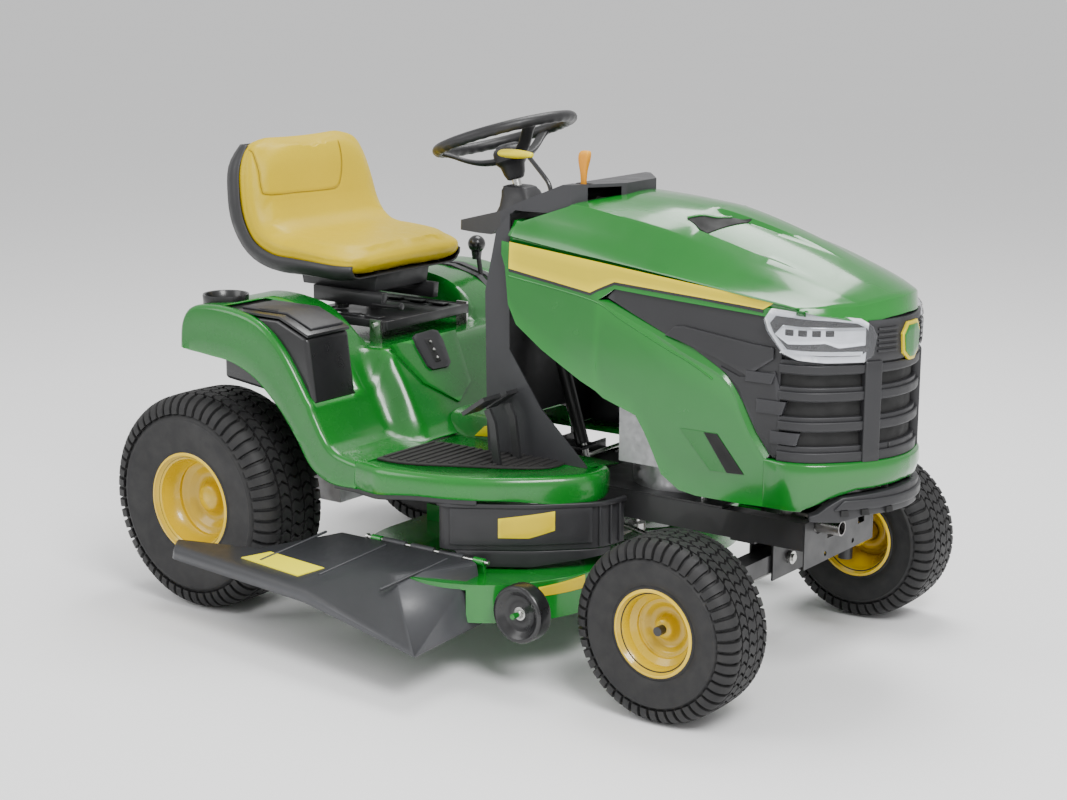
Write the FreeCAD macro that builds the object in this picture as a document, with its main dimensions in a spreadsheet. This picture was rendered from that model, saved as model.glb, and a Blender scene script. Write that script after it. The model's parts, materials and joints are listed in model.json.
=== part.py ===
"""Riding lawn mower with a 42-inch side-discharge deck, as an assembly of separate sub-parts.

Vehicle axes: +X forward, +Y to the left, +Z up, ground at z = 0.  Every sub-part is drawn with
the rear axle at x = 0 and the centreline at y = 0, and its Placement carries it by the cells
rear_axle_x and centreline_y, which centre the whole machine on the origin.
"""
import FreeCAD, Part
import math
import os
import re
import Sketcher

Vector = FreeCAD.Vector
Rotation = FreeCAD.Rotation

doc = FreeCAD.newDocument("riding_mower")
sheet = doc.addObject("Spreadsheet::Sheet", "Dimensions")

values = {}
sub_parts = {}
names_used = {}


# ---------------------------------------------------------------- driving dimensions

def dimensions(**cells):
    """Adds one spreadsheet row with an alias for each driving dimension, in millimetres."""
    for alias, value in cells.items():
        row = len(values) + 1
        sheet.set("A%d" % row, alias)
        sheet.set("B%d" % row, str(value))
        sheet.setAlias("B%d" % row, alias)
        values[alias] = float(value)


# where the whole machine stands in its own frame
dimensions(rear_axle_x=-640, centreline_y=79)
# chassis layout
dimensions(wheelbase=1240, rail_y=150, rail_low=300, rail_high=358, rail_wall=3, rail_flange=34,
           rail_rear=-205, rail_front=1385, plate_low=196, engine_x=1010, tail_z=345)
# wheels and tyres
dimensions(front_tyre_radius=187.5, front_tyre_width=155, front_wheel_y=418,
           rear_tyre_radius=250, rear_tyre_width=202, rear_wheel_y=419,
           front_seat_radius=76, front_flange_radius=90, rear_seat_radius=101,
           rear_flange_radius=117.5, axle_radius=9.5, running_gap=0.05, tyre_wall=9)
# front axle and steering
dimensions(axle_z=232, axle_half_height=19, axle_depth=46, kingpin_y=310, kingpin_radius=9.5,
           kingpin_tube=16, arm_length=70, link_z=264, tie_z=152, tie_arm=80, link_radius=6,
           column_tilt=18, steering_x=512, steering_z=1079, ring_radius=153.5, grip_radius=14,
           shaft_radius=9.5, pinion_radius=12, sector_radius=93, sector_z=236)
# footrest, fender and tunnel sheet metal
dimensions(floor_z=405, sheet_wall=3, fender_y=468, hip_y=190, fender_rear=-62, fender_low=600,
           fender_top=704, hip_front=310, tunnel_y=110, seat_deck_z=598)
# hood
dimensions(hood_wall=3, pivot_x=1508, pivot_z=424)
# mower deck, raised
dimensions(deck_x=670, deck_lobe_y=257, deck_radius=279, deck_low=126, deck_top=208, deck_wall=3,
           blade_z=140, blade_half_length=249, blade_width=56, pulley_radius=62, pulley_z=228,
           gauge_x=923, gauge_y=484, gauge_z=167, gauge_radius=61, gauge_width=43,
           hinge_y=432, hinge_z=236, chute_wall=4)
# seat
dimensions(pan_z=648, pan_y=150, pan_pivot_x=262, pan_pivot_z=641, seat_y=240)
doc.recompute()


def scoped(text):
    """Turns the bare aliases of an expression into references to the sheet."""
    def refer(match):
        word = match.group(0)
        return "Dimensions." + word if word in values else word
    return re.sub(r"[A-Za-z_][A-Za-z_0-9]*", refer, str(text))


def number(text):
    """The value of an expression, for geometry that is made by Part's own functions."""
    return float(eval_expression(str(text)))


def eval_expression(text):
    carrier = doc.getObject("Scratch") or doc.addObject("App::FeaturePython", "Scratch")
    return carrier.evalExpression(scoped(text))


def unique(name):
    names_used[name] = names_used.get(name, 0) + 1
    return name if names_used[name] == 1 else "%s_%d" % (name, names_used[name])


def bind(thing, **expressions):
    """Binds properties of an object to expressions in the sheet's aliases."""
    for prop, text in expressions.items():
        setattr(thing, prop, number(text))
        thing.setExpression(prop, scoped(text))


def place(thing, x=0, y=0, z=0, axis=None, angle=0):
    """Puts a primitive at a point given by expressions, turned about an axis."""
    if axis is not None:
        thing.Placement.Rotation = Rotation(Vector(*axis), angle)
    for key, text in (("x", x), ("y", y), ("z", z)):
        thing.setExpression("Placement.Base." + key, scoped(text))


def block(name, low, high):
    """A box between two corners, each given by three expressions."""
    solid = doc.addObject("Part::Box", unique(name))
    spans = ["(%s) - (%s)" % (b, a) for a, b in zip(low, high)]
    bind(solid, Length=spans[0], Width=spans[1], Height=spans[2])
    place(solid, *low)
    return solid


TURNS = {"z": (None, 0), "x": ((0, 1, 0), 90), "y": ((1, 0, 0), -90)}


def rod(name, radius, length, start, along="z"):
    """A cylinder from a start point along +x, +y or +z."""
    solid = doc.addObject("Part::Cylinder", unique(name))
    bind(solid, Radius=radius, Height=length)
    axis, angle = TURNS[along]
    place(solid, *start, axis=axis, angle=angle)
    return solid


def leaning(solid, pitch):
    """Tilts an upright primitive rearward by an angle in degrees, about +Y."""
    solid.Placement.Rotation = Rotation(Vector(0, 1, 0), pitch)
    return solid


def fused(name, *pieces):
    joined = doc.addObject("Part::MultiFuse", unique(name))
    joined.Shapes = list(pieces)
    return joined


def cut(name, base, *tools):
    tool = tools[0] if len(tools) == 1 else fused(name + "_tools", *tools)
    result = doc.addObject("Part::Cut", unique(name))
    result.Base = base
    result.Tool = tool
    return result


def group(name, *pieces):
    """Separate solids that share one sub-part."""
    together = doc.addObject("Part::Compound", unique(name))
    together.Links = list(pieces)
    return together


def new_sketch(body, plane_role, points, name):
    """A closed outline whose corners are held to expressions by dimension constraints."""
    plane = [item for item in body.Origin.OriginFeatures if item.Role == plane_role][0]
    sketch = body.newObject("Sketcher::SketchObject", unique(name + "_sketch"))
    sketch.AttachmentSupport = [(plane, "")]
    sketch.MapMode = "FlatFace"
    corners = [(number(a), number(b)) for a, b in points]
    count = len(corners)
    for index in range(count):
        start = Vector(*corners[index], 0)
        end = Vector(*corners[(index + 1) % count], 0)
        sketch.addGeometry(Part.LineSegment(start, end), False)
    for index in range(count):
        sketch.addConstraint(Sketcher.Constraint("Coincident", index, 2, (index + 1) % count, 1))
    for index, pair in enumerate(points):
        for kind, text, size in zip(("DistanceX", "DistanceY"), pair, corners[index]):
            row = sketch.addConstraint(Sketcher.Constraint(kind, -1, 1, index, 1, size))
            if re.search("[A-Za-z]", str(text)):
                sketch.setExpression("Constraints[%d]" % row, scoped(text))
    return sketch


def profile(name, plane_role, points, thickness, middle=None):
    """A padded outline.  On XZ it is centred on middle in y, on YZ in x, and on XY in z."""
    body = doc.addObject("PartDesign::Body", unique(name))
    sketch = new_sketch(body, plane_role, points, name)
    pad = body.newObject("PartDesign::Pad", unique(name + "_pad"))
    pad.Profile = sketch
    pad.Midplane = True
    bind(pad, Length=thickness)
    if middle is not None:
        key = {"XZ_Plane": "y", "YZ_Plane": "x", "XY_Plane": "z"}[plane_role]
        body.setExpression("Placement.Base." + key, scoped(middle))
    return body


def turned(name, points):
    """A solid of revolution about Y from (radius, offset) corners."""
    body = doc.addObject("PartDesign::Body", unique(name))
    sketch = new_sketch(body, "XY_Plane", points, name)
    spin = body.newObject("PartDesign::Revolution", unique(name + "_turn"))
    spin.Profile = sketch
    spin.ReferenceAxis = (sketch, ["V_Axis"])
    spin.Angle = 360
    return body


def shape_part(name, shape):
    """A piece whose shape comes from Part's own functions."""
    feature = doc.addObject("Part::Feature", unique(name))
    feature.Shape = Part.Compound([shape])
    return feature


def finish(label, thing):
    """Labels a sub-part and carries it from the vehicle axes to the machine's own frame."""
    if thing.TypeId not in ("Part::Compound", "Part::MultiFuse", "Part::Cut", "Part::Feature"):
        thing = group(label, thing)
    thing.Label = label
    thing.setExpression("Placement.Base.x", scoped("rear_axle_x"))
    thing.setExpression("Placement.Base.y", scoped("centreline_y"))
    sub_parts[label] = thing
    return thing


def mirrored_points(points):
    return [(a, "-(%s)" % b) for a, b in points]


def lofted(stations):
    """A ruled solid through closed outlines of equal corner count."""
    wires = [Part.makePolygon([Vector(*p) for p in s] + [Vector(*s[0])]) for s in stations]
    return Part.makeLoft(wires, True, True)


# ---------------------------------------------------------------- chassis

def rail(side):
    """One side rail, an open channel that faces inwards, ending at the nose plate."""
    web = block("rail_web",
                ("rail_rear", "%d*rail_y - rail_wall/2" % side, "rail_low"),
                ("rail_front - rail_wall", "%d*rail_y + rail_wall/2" % side, "rail_high"))
    inner = ("rail_y - rail_flange", "rail_y") if side > 0 else ("-rail_y", "-rail_y + rail_flange")
    low_flange = block("rail_low_flange", ("rail_rear", inner[0], "rail_low"),
                       ("rail_front - rail_wall", inner[1], "rail_low + rail_wall"))
    high_flange = block("rail_high_flange", ("rail_rear", inner[0], "rail_high - rail_wall"),
                        ("rail_front - rail_wall", inner[1], "rail_high"))
    return fused("rail", web, low_flange, high_flange)


def nose_plate():
    plate = block("nose_steel", ("rail_front - rail_wall", "-rail_y", "rail_low - 40"),
                  ("rail_front", "rail_y", "rail_high"))
    windows = [block("nose_window", ("rail_front - 6", "%d - 14" % y, "rail_low + 6"),
                     ("rail_front + 3", "%d + 14" % y, "rail_low + 34")) for y in (-40, 95)]
    windows.append(rod("tail_window", 20, 20, ("rail_front - 10", -92, "tail_z"), "x"))
    studs = [rod("front_stud_hole", 5.5, 12, ("rail_front - 8", y, "rail_low - 25"), "x")
             for y in (-60, 60)]
    return cut("nose_plate", plate, *windows, *studs)


def axle_cradle():
    """Two bored saddles for the axle's pivot, each hung from the rails by its ties."""
    saddles = []
    for offset in (-1, 1):
        near = "wheelbase + %d*(axle_depth/2 + 4)" % offset
        saddle = block("saddle", (near + " - 2", "-70", "plate_low"), (near + " + 2", "70", "rail_low"))
        bore = rod("pivot_bore", 8.05, 90, ("wheelbase - 45", 0, "axle_z"), "x")
        saddles.append(cut("axle_saddle", saddle, bore))
    ties = [block("saddle_tie", ("wheelbase - 29", "%d*110 - 40" % side, "rail_low - 5"),
                  ("wheelbase + 29", "%d*110 + 40" % side, "rail_low")) for side in (-1, 1)]
    return saddles + ties


def main_frame():
    """The welded frame, one solid for each steel member."""
    crossings = [block("cross_plate",
                       (x, "-rail_y + rail_wall/2", "rail_low + rail_wall"),
                       (str(x) + " + 3", "rail_y - rail_wall/2", "rail_high - rail_wall"))
                 for x in (330, 620)]
    engine_plate = cut("engine_plate",
                       block("engine_steel", (820, "-rail_y", "rail_high"),
                             (1190, "rail_y", "rail_high + 4")),
                       rod("crank_hole", 30, 12, ("engine_x", 0, "rail_high - 4")))
    hitch = block("hitch_plate", ("rail_rear - 4", -150, "rail_low - 45"),
                  ("rail_rear", 150, "rail_high"))
    tongue = cut("hitch_tongue",
                 block("tongue_steel", ("rail_rear - 36", -50, "rail_low - 45"),
                       ("rail_rear - 4", 50, "rail_low - 41")),
                 rod("hitch_hole", 9.5, 12, ("rail_rear - 20", 0, "rail_low - 49")))
    rear_posts = [block("fender_post", (x, "%d*130 - 20" % side, "rail_high"),
                        (str(x) + " + 4", "%d*130 + 20" % side, "seat_deck_z - 1"))
                  for x in (-40, 240) for side in (-1, 1)]
    column_bar = block("column_bar", (690, "-rail_y", "rail_high"), (694, "rail_y", "rail_high + 20"))
    column_foot = block("column_foot", (694, -30, "rail_high"), (700, 30, "rail_high + 60"))
    finish("main_frame", group("main_frame", rail(-1), rail(1), *crossings, nose_plate(), engine_plate,
                               *axle_cradle(), hitch, tongue, *rear_posts, column_bar, column_foot))


def front_bumper():
    """Valance that wraps the nose below the hood lip, with a row of pockets along its foot."""
    outline = [(1404, -195), (1445, -178), (1500, -142), (1525, -70), (1530, 0),
               (1525, 70), (1500, 142), (1445, 178), (1404, 195)]
    inner = [(1404, 172), (1435, 160), (1480, 124), (1500, 62), (1504, 0),
             (1500, -62), (1480, -124), (1435, -160), (1404, -172)]
    wrap = profile("bumper_wrap", "XY_Plane", outline + inner, 38, "396")
    brackets = [block("bumper_bracket", ("rail_front + 0.5", "%d*140 - 2" % s, 380),
                      (1490, "%d*140 + 2" % s, 410)) for s in (-1, 1)]
    feet = [block("bumper_foot", ("rail_front + 0.5", "%d*140 - 20" % s, 322),
                  ("rail_front + 4.5", "%d*140 + 20" % s, 410)) for s in (-1, 1)]
    ears = [block("hinge_ear", ("pivot_x - 10", "%d*40 - 4" % s, 396),
                  ("pivot_x + 8", "%d*40 + 4" % s, "pivot_z + 8")) for s in (-1, 1)]
    pin_holes = rod("ear_hole", 4.05, 120, ("pivot_x", -60, "pivot_z"), "y")
    pockets = [block("bumper_pocket", (1515, "%d - 11" % y, 383), (1540, "%d + 11" % y, 397))
               for y in (-100, -50, 0, 50, 100)]
    finish("front_bumper", cut("front_bumper", fused("bumper_body", wrap, *brackets, *feet, *ears),
                                *pockets, pin_holes))


def strip(points, wall):
    """Closes an open side-view line into a sheet of constant vertical thickness."""
    low = [(x, "(%s) - (%s)" % (z, wall)) for x, z in reversed(points)]
    return list(points) + low


HIP_LINE = [("fender_rear", "fender_low"), ("fender_rear + 8", "fender_top - 44"),
            ("fender_rear + 34", "fender_top - 12"), ("10", "fender_top"), ("100", "fender_top - 1"),
            ("hip_front - 127", "fender_top - 21"), ("hip_front - 60", "fender_top - 73")]
FOOT_LINE = [("hip_front + 5", "floor_z + 136"), ("hip_front + 59", "floor_z + 46"),
             ("hip_front + 91", "floor_z + 17"), ("hip_front + 150", "floor_z")]
FENDER_LINE = HIP_LINE + FOOT_LINE


def fender_deck():
    """Green sheet: two fender hips, a lower seat deck, side skirts, riser and footrests."""
    wall = "sheet_wall"
    hips = []
    for side in (-1, 1):
        middle = "%d*(fender_y + hip_y)/2" % side
        hips.append(profile("hip", "XZ_Plane", strip(FENDER_LINE, wall), "fender_y - hip_y", middle))
    centre_line = [("fender_rear", "fender_low"), ("fender_rear + 30", "seat_deck_z + 3"),
                   ("hip_front - 10", "seat_deck_z + 3"), ("hip_front + 92", "fender_low - 76"),
                   ("hip_front + 150", "floor_z")]
    centre = profile("seat_deck", "XZ_Plane", strip(centre_line, wall), "2*hip_y")
    walls = []
    for side in (-1, 1):
        inner_wall = HIP_LINE + [("hip_front - 40", "seat_deck_z"),
                                 ("fender_rear + 30", "seat_deck_z")]
        cheek = [("hip_front - 42", "seat_deck_z + 3")] + centre_line[2:]
        cheek += [(x, "(%s) - sheet_wall" % z) for x, z in reversed(FOOT_LINE)]
        for name, outline in (("hip_wall", inner_wall), ("riser_cheek", cheek)):
            walls.append(profile(name, "XZ_Plane", outline, wall,
                                 "%d*(hip_y + sheet_wall/2)" % side))
        skirt = FENDER_LINE + [("hip_front + 178", "floor_z - 52"), ("hip_front + 62", "floor_z - 62"),
                               ("hip_front - 20", "floor_z + 24"), ("hip_front - 90", "fender_low - 60"),
                               ("hip_front - 210", "fender_low - 16"), ("fender_rear + 50", "fender_low - 6")]
        walls.append(profile("fender_skirt", "XZ_Plane", skirt, wall,
                             "%d*(fender_y - sheet_wall/2)" % side))
    floors = []
    for side in (-1, 1):
        outline = [("hip_front + 140", 455), (560, 484), (690, 452), (850, 350), (935, 262), (925, 180),
                   (890, 160), (600, 160), (560, "tunnel_y"), ("hip_front + 140", "tunnel_y")]
        if side < 0:
            outline = mirrored_points(outline)
        floors.append(profile("floor", "XY_Plane", outline, wall, "floor_z - sheet_wall/2"))
        edge = [("hip_front + 150", 468), (560, 487), (692, 455), (853, 352), (938, 262),
                (935, 260), (850, 348), (689, 451), (560, 483.5), ("hip_front + 150", 465)]
        if side < 0:
            edge = mirrored_points(edge)
        floors.append(profile("floor_rim", "XY_Plane", edge, 50, "floor_z - 25"))
    tunnel_line = [("hip_front + 92", "fender_low - 76"), ("hip_front + 190", 455), (600, 455)]
    tunnel = profile("tunnel", "XZ_Plane", strip(tunnel_line, wall), "2*tunnel_y")
    tunnel_wall = [("hip_front + 92", "fender_low - 76"), ("hip_front + 190", 455), (600, 455),
                   (600, "floor_z - 3"), ("hip_front + 140", "floor_z - 3")]
    tunnel_walls = [profile("tunnel_wall", "XZ_Plane", tunnel_wall, wall,
                            "%d*(tunnel_y - sheet_wall/2)" % side) for side in (-1, 1)]
    sheet_metal = fused("fender_sheet", *hips, centre, *walls, *floors, tunnel, *tunnel_walls)
    box_room = block("box_room", (-62, -453, 515), (334, -307, 760))
    lever_slot = block("lever_slot", (60, 338, 620), (300, 352, 760))
    pedal_slots = [block("pedal_slot", (668, y, 380), (750, str(y) + " + 16", 420))
                   for y in (-308, -237, 242)]
    finish("fender_deck", cut("fender_deck", sheet_metal, box_room, lever_slot, *pedal_slots))


def foot_mats():
    """Ribbed rubber mats on both footrests."""
    pieces = []
    for side in (-1, 1):
        outline = [(480, 425), (640, 415), (655, 330), (655, 208), (480, 208)]
        if side < 0:
            outline = mirrored_points(outline)
        pieces.append(profile("mat", "XY_Plane", outline, 3, "floor_z + 1.5"))
        pieces += [block("mat_rib", (x, "%d*312 - 100" % side, "floor_z + 3"),
                         (str(x) + " + 5", "%d*312 + 100" % side, "floor_z + 5"))
                   for x in range(490, 640, 24)]
    finish("foot_mats", fused("foot_mats", *pieces))


def storage_box():
    """Bin in the right fender with a round cup holder behind it."""
    outline = [(62, 548), (62, 688), (230, 688), (312, 655), (330, 534)]
    inner = [(66, 554), (66, 690), (228, 690), (308, 652), (324, 540)]
    bin_shell = cut("bin_shell", profile("bin", "XZ_Plane", outline, 140, -380),
                    profile("bin_room", "XZ_Plane", inner, 132, -380))
    cup = cut("cup", rod("cup_wall", 46, 92, (4, -380, 622)), rod("cup_room", 42, 92, (4, -380, 626)))
    rim = cut("cup_rim", rod("cup_flange", 54, 4, (4, -380, 711)), rod("cup_mouth", 42, 10, (4, -380, 708)))
    bridge = block("cup_bridge", (48, -420, 662), (62, -340, 682))
    finish("storage_box", fused("storage_box", bin_shell, cup, rim, bridge))


def storage_lid():
    slab = profile("lid_slab", "XZ_Plane",
                   [(63, 690), (63, 698), (232, 698), (320, 662), (317, 656), (231, 690)], 142, -380)
    notch = rod("lid_notch", 14, 20, (322, -380, 650))
    barrel = rod("lid_barrel", 4, 142, (63, -451, 694), "y")
    finish("storage_lid", cut("storage_lid", fused("lid_and_barrel", slab, barrel), notch))


def lift_quadrant():
    """Stepped guide plate for the deck lift lever, on the left fender."""
    line = [(30, "fender_top + 4"), (100, "fender_top + 3.5"), ("hip_front - 125", "fender_top - 17.5"),
            ("hip_front - 58", "fender_top - 69.5"), ("hip_front - 60", "fender_top - 72.5"),
            ("hip_front - 127", "fender_top - 20.5"), (100, "fender_top - 0.5"), (30, "fender_top + 0.5")]
    plate = profile("quadrant_plate", "XZ_Plane", line, 54, 345)
    slot = block("quadrant_slot", (62, 338, "fender_top - 90"), ("hip_front - 40", 352, "fender_top + 9"))
    finish("lift_quadrant", cut("lift_quadrant", plate, slot))


def console():
    """Black tower between the footrests and the hood, which carries the dash."""
    outer = [(615, 455.5), (610, 760), (640, 895), (676, 935), (676, 640), (760, 520), (880, 410),
             (900, 364), (620, 364)]
    tower = profile("tower", "XZ_Plane", outer, 400)
    room = profile("tower_room", "XZ_Plane",
                   [(619, 430), (614, 760), (644, 893), (690, 950), (690, 640), (765, 524), (885, 414),
                    (910, 350), (619, 350)], 392)
    tunnel_gap = block("tunnel_gap", (600, -114, 350), (640, 114, 462))
    floor_gaps = [block("floor_gap", (600, "%d*183 - 28" % s, 350), (905, "%d*183 + 28" % s, 405.5))
                  for s in (-1, 1)]
    column_gap = leaning(rod("column_gap", 18, 420, (column_point("640"), 0, 640)), -values["column_tilt"])
    finish("console", cut("console", tower, room, tunnel_gap, *floor_gaps, column_gap))


def lever_well():
    """Room through the dash for the swing of the blade-engagement lever."""
    return block("lever_well", (700, -139, 900), (762, -111, 1010))


def dash_panel():
    """Dash top with the column hole, the lever slots and the key hole."""
    outer = [(498, 880), (502, 902), (640, 936), (785, 1000), (880, 1002), (880, 940), (780, 938),
             (680, 941), (641, 903), (609, 882), (560, 880)]
    panel = profile("dash_shell", "XZ_Plane", outer, 380)
    room = profile("dash_room", "XZ_Plane",
                   [(504, 876), (508, 896), (642, 930), (786, 993), (873, 995), (873, 930), (780, 930),
                    (684, 930), (641, 893), (609, 876)], 250)
    plan = profile("dash_plan", "XY_Plane", [(490, 135), (505, 150), (640, 186), (700, 186), (803, 154),
                                             (880, 58), (880, -58), (803, -154), (700, -186), (640, -186),
                                             (505, -150), (490, -135)], 400, 940)
    trimmed = doc.addObject("Part::Common", "dash_trimmed")
    trimmed.Base = panel
    trimmed.Tool = plan
    throat = leaning(rod("column_throat", 32, 220, (column_point("800"), 0, 800)), -values["column_tilt"])
    throttle_slot = block("throttle_slot", (782, -122, 920), (829, -106, 1020))
    key_hole = rod("key_hole", 9, 90, (620, 95, 870))
    finish("dash_panel", cut("dash_panel", trimmed, room, throat, lever_well(), throttle_slot, key_hole))


def column_point(height):
    """Where the steering axis passes a given height, as an expression for x."""
    return "steering_x + (steering_z - (%s))*tan(column_tilt)" % height


def column_boot():
    cone = doc.addObject("Part::Cone", "boot_cone")
    bind(cone, Radius1="30", Radius2="18", Height="62")
    place(leaning(cone, -values["column_tilt"]), column_point("905"), 0, 905)
    hollow = rod("boot_room", "shaft_radius + 1.5", 120, (column_point("880"), 0, 880))
    leaning(hollow, -values["column_tilt"])
    return cut("column_boot", cone, hollow)


def engine_block():
    """Vertical-shaft single-cylinder engine: crankcase, finned barrel, intake and filter."""
    case = rod("crankcase", 118, 150, ("engine_x", 0, "rail_high + 4"))
    barrel = block("barrel", ("engine_x + 60", -55, 420), ("engine_x + 205", 55, 500))
    fins = [block("fin", ("engine_x + %d" % x, -68, 408), ("engine_x + %d" % (x + 4), 68, 512))
            for x in range(112, 200, 12)]
    sump = block("filter_housing", ("engine_x - 60", -178, 430), ("engine_x + 60", -112, 560))
    bore = rod("crank_bore", 12.75, 110, ("engine_x", 0, "rail_high"))
    finish("engine_block", cut("engine_block", fused("engine_solid", case, barrel, *fins, sump), bore))


def engine_shroud():
    """Blower housing with a ring of air slots around its rotating-screen opening."""
    drum = rod("shroud_drum", 152, 118, ("engine_x", 0, "rail_high + 154.5"))
    room = rod("shroud_room", 147, 113, ("engine_x", 0, "rail_high + 154"))
    screen = rod("shroud_screen", 92, 20, ("engine_x", 0, "rail_high + 272.5"))
    slots = []
    for index in range(12):
        slot = block("screen_slot", (26, -4, 620), (82, 4, 660))
        angle = index * 30
        slot.Placement.Rotation = Rotation(Vector(0, 0, 1), angle)
        turn = math.radians(angle)
        place(slot, "engine_x + %.4f" % (26 * math.cos(turn) + 4 * math.sin(turn)),
              "%.4f" % (26 * math.sin(turn) - 4 * math.cos(turn)), 620)
        slots.append(slot)
    gap = block("filter_gap", ("engine_x - 64", -200, 500), ("engine_x + 64", -110, 564))
    finish("engine_shroud", cut("engine_shroud", fused("shroud_solid", drum, screen), room, *slots, gap))


def muffler():
    """Silencer ahead of the engine with a tail pipe that leaves below the hood."""
    can = rod("muffler_can", 48, 200, (1312, -100, 452), "y")
    inlet = rod("muffler_inlet", 14, 50, (1218, 60, 452), "x")
    drop = rod("tail_drop", 16, 90, (1312, -92, "tail_z"))
    elbow = doc.addObject("Part::Sphere", "tail_elbow")
    bind(elbow, Radius="16")
    place(elbow, 1312, -92, "tail_z")
    tail = rod("tail_pipe", 16, 126, (1312, -92, "tail_z"), "x")
    bore = rod("tail_bore", 13, 60, (1390, -92, "tail_z"), "x")
    finish("muffler", cut("muffler", fused("muffler_solid", can, inlet, drop, elbow, tail), bore))


def battery():
    case = block("battery_case", (40, -98, 362), (235, 32, 520))
    posts = [rod("battery_post", 8, 16, (75, y, 520)) for y in (-75, 10)]
    finish("battery", fused("battery", case, *posts))


def fuel_tank():
    tank = block("tank_body", (700, -140, 690), (830, 140, 850))
    neck = rod("tank_neck", 30, 34, (775, -70, 850))
    cap = rod("tank_cap", 38, 22, (775, -70, 884))
    finish("fuel_tank", group("fuel_tank", fused("tank_solid", tank, neck), cap))


def transaxle():
    """Gear case on the rear axle line, with tubes in which the axle shafts run."""
    case = block("gear_case", (-85, -105, 178), (95, 105, 296))
    top = rod("input_housing", 42, 20, (35, 0, 296))
    pulley = rod("input_pulley", 52, 16, (35, 0, 318))
    tubes = [rod("axle_tube", 20, 130, (0, y, "rear_tyre_radius"), "y") for y in (-235, 105)]
    bore = rod("axle_bore", "axle_radius + running_gap", 600, (0, -300, "rear_tyre_radius"), "y")
    brackets = [block("case_bracket", (-40, "%d*127 - 4" % s, 268), (40, "%d*127 + 4" % s, 300))
                for s in (-1, 1)]
    finish("transaxle", cut("transaxle", fused("transaxle_solid", case, top, pulley, *tubes, *brackets),
                            bore))


def belt_skirt():
    """Black guard that hangs below the right footrest, with vertical ribs."""
    outer = [(672, -438), (700, -440), (845, -345), (930, -262), (958, -205), (958, -160),
             (952, -160), (952, -203), (925, -258), (841, -340), (698, -434), (672, -432)]
    wall = profile("skirt_wall", "XY_Plane", outer, 100, "304")
    ribs = [block("skirt_rib", (x, y, 254), (str(x) + " + 5", "%d + 14" % y, 354))
            for x, y in ((720, -440), (775, -404), (860, -341), (905, -300))]
    hangers = [block("skirt_hanger", (690, -434, 350), (702, -400, 354))]
    finish("belt_skirt", fused("belt_skirt", wall, *ribs, *hangers))


def steering_column():
    """Bearing tube of the steering shaft, bolted to the cross bar and the dash."""
    length = "(880 - 400)/cos(column_tilt)"
    tube = leaning(rod("column_tube", 15, length, (column_point("400"), 0, 400)), -values["column_tilt"])
    hole = leaning(rod("column_room", "shaft_radius + running_gap", "700",
                       (column_point("340"), 0, 340)), -values["column_tilt"])
    foot = block("column_flange", (700.5, -30, 392), (752, 30, 398))
    bearing_tube = cut("bearing_tube", fused("column_solid", tube, foot), hole)
    finish("steering_column", group("steering_column", bearing_tube, column_boot()))


def fasteners():
    """Hex bolts and nuts of the chassis, one solid each."""
    bolts = []
    pivot = rod("pivot_bolt", 8, 78, ("wheelbase - 36", 0, "axle_z"), "x")
    head = rod("pivot_head", 14, 8, ("wheelbase + 29.5", 0, "axle_z"), "x")
    nut = rod("pivot_nut", 14, 8, ("wheelbase - 37.5", 0, "axle_z"), "x")
    bolts.append(fused("pivot_bolt_solid", pivot, head, nut))
    for side in (-1, 1):
        for x in (880, 1130):
            bolts.append(rod("engine_bolt", 7, 7, (x, "%d*125" % side, "rail_high + 4")))
        for x in (60, 500, 700):
            start = "rail_y + rail_wall/2" if side > 0 else "-(rail_y + rail_wall/2) - 6"
            bolts.append(rod("rail_bolt", 8, 6, (x, start, "(rail_low + rail_high)/2"), "y"))
    return bolts


def frame_hardware():
    """Bolts, the sector's pin, the pedal shaft and the seat's pivot brackets, one solid each."""
    solids = fasteners() + sector_pin() + [pedal_shaft()] + seat_bracket()
    finish("frame_hardware", group("frame_hardware", *solids))


# ---------------------------------------------------------------- wheels

def casing_points(radius, width, seat, flange, bead):
    """The casing outline in order: outer skin across, then the inner skin back."""
    half = "(%s)/2" % width
    middle = "0.5*(%s) + 0.5*(%s)" % (flange, radius)
    outer = [(seat, bead), ("(%s) + 7" % flange, bead), ("(%s) + 24" % flange, half + " - 3"),
             (middle, half), ("(%s) - 26" % radius, half + " - 3"),
             ("(%s) - 9" % radius, half + " - 15"), (radius, half + " - 34")]
    inner = [(seat, bead + " - 13"), ("(%s) + 2" % flange, bead + " - 13"),
             ("(%s) + 24" % flange, half + " - tyre_wall - 4"), (middle, half + " - tyre_wall"),
             ("(%s) - 30" % radius, half + " - 16"), ("(%s) - 16" % radius, half + " - 38")]
    return outer + mirrored_points(outer)[::-1] + mirrored_points(inner) + inner[::-1]


def rim_points(seat, flange, bead, well_drop, well_half, disc, hub_radius, hub_in, hub_out, bore):
    """Pressed rim with a drop centre, a flat disc and a welded hub, as (radius, offset)."""
    skin = 3
    edge = "(%s) + %d" % (bead, skin)
    well = "(%s) - %s" % (seat, well_drop)
    bed = "(%s) - %d" % (seat, skin)
    floor = "(%s) - %s - %d" % (seat, well_drop, skin)
    slope = well_half + 8
    return [(bore, hub_out), (hub_radius, hub_out), (hub_radius, disc + skin), (floor, disc + skin),
            (floor, well_half), (bed, slope), (bed, edge), (flange, edge), (flange, bead), (seat, bead),
            (seat, slope + 1), (well, well_half + 1), (well, -well_half - 1), (seat, -slope - 1),
            (seat, "-(%s)" % bead), (flange, "-(%s)" % bead), (flange, "-(%s)" % edge),
            (bed, "-(%s)" % edge), (bed, -slope), (floor, -well_half), (floor, disc), (hub_radius, disc),
            (hub_radius, -hub_in), (bore, -hub_in)]


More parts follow.
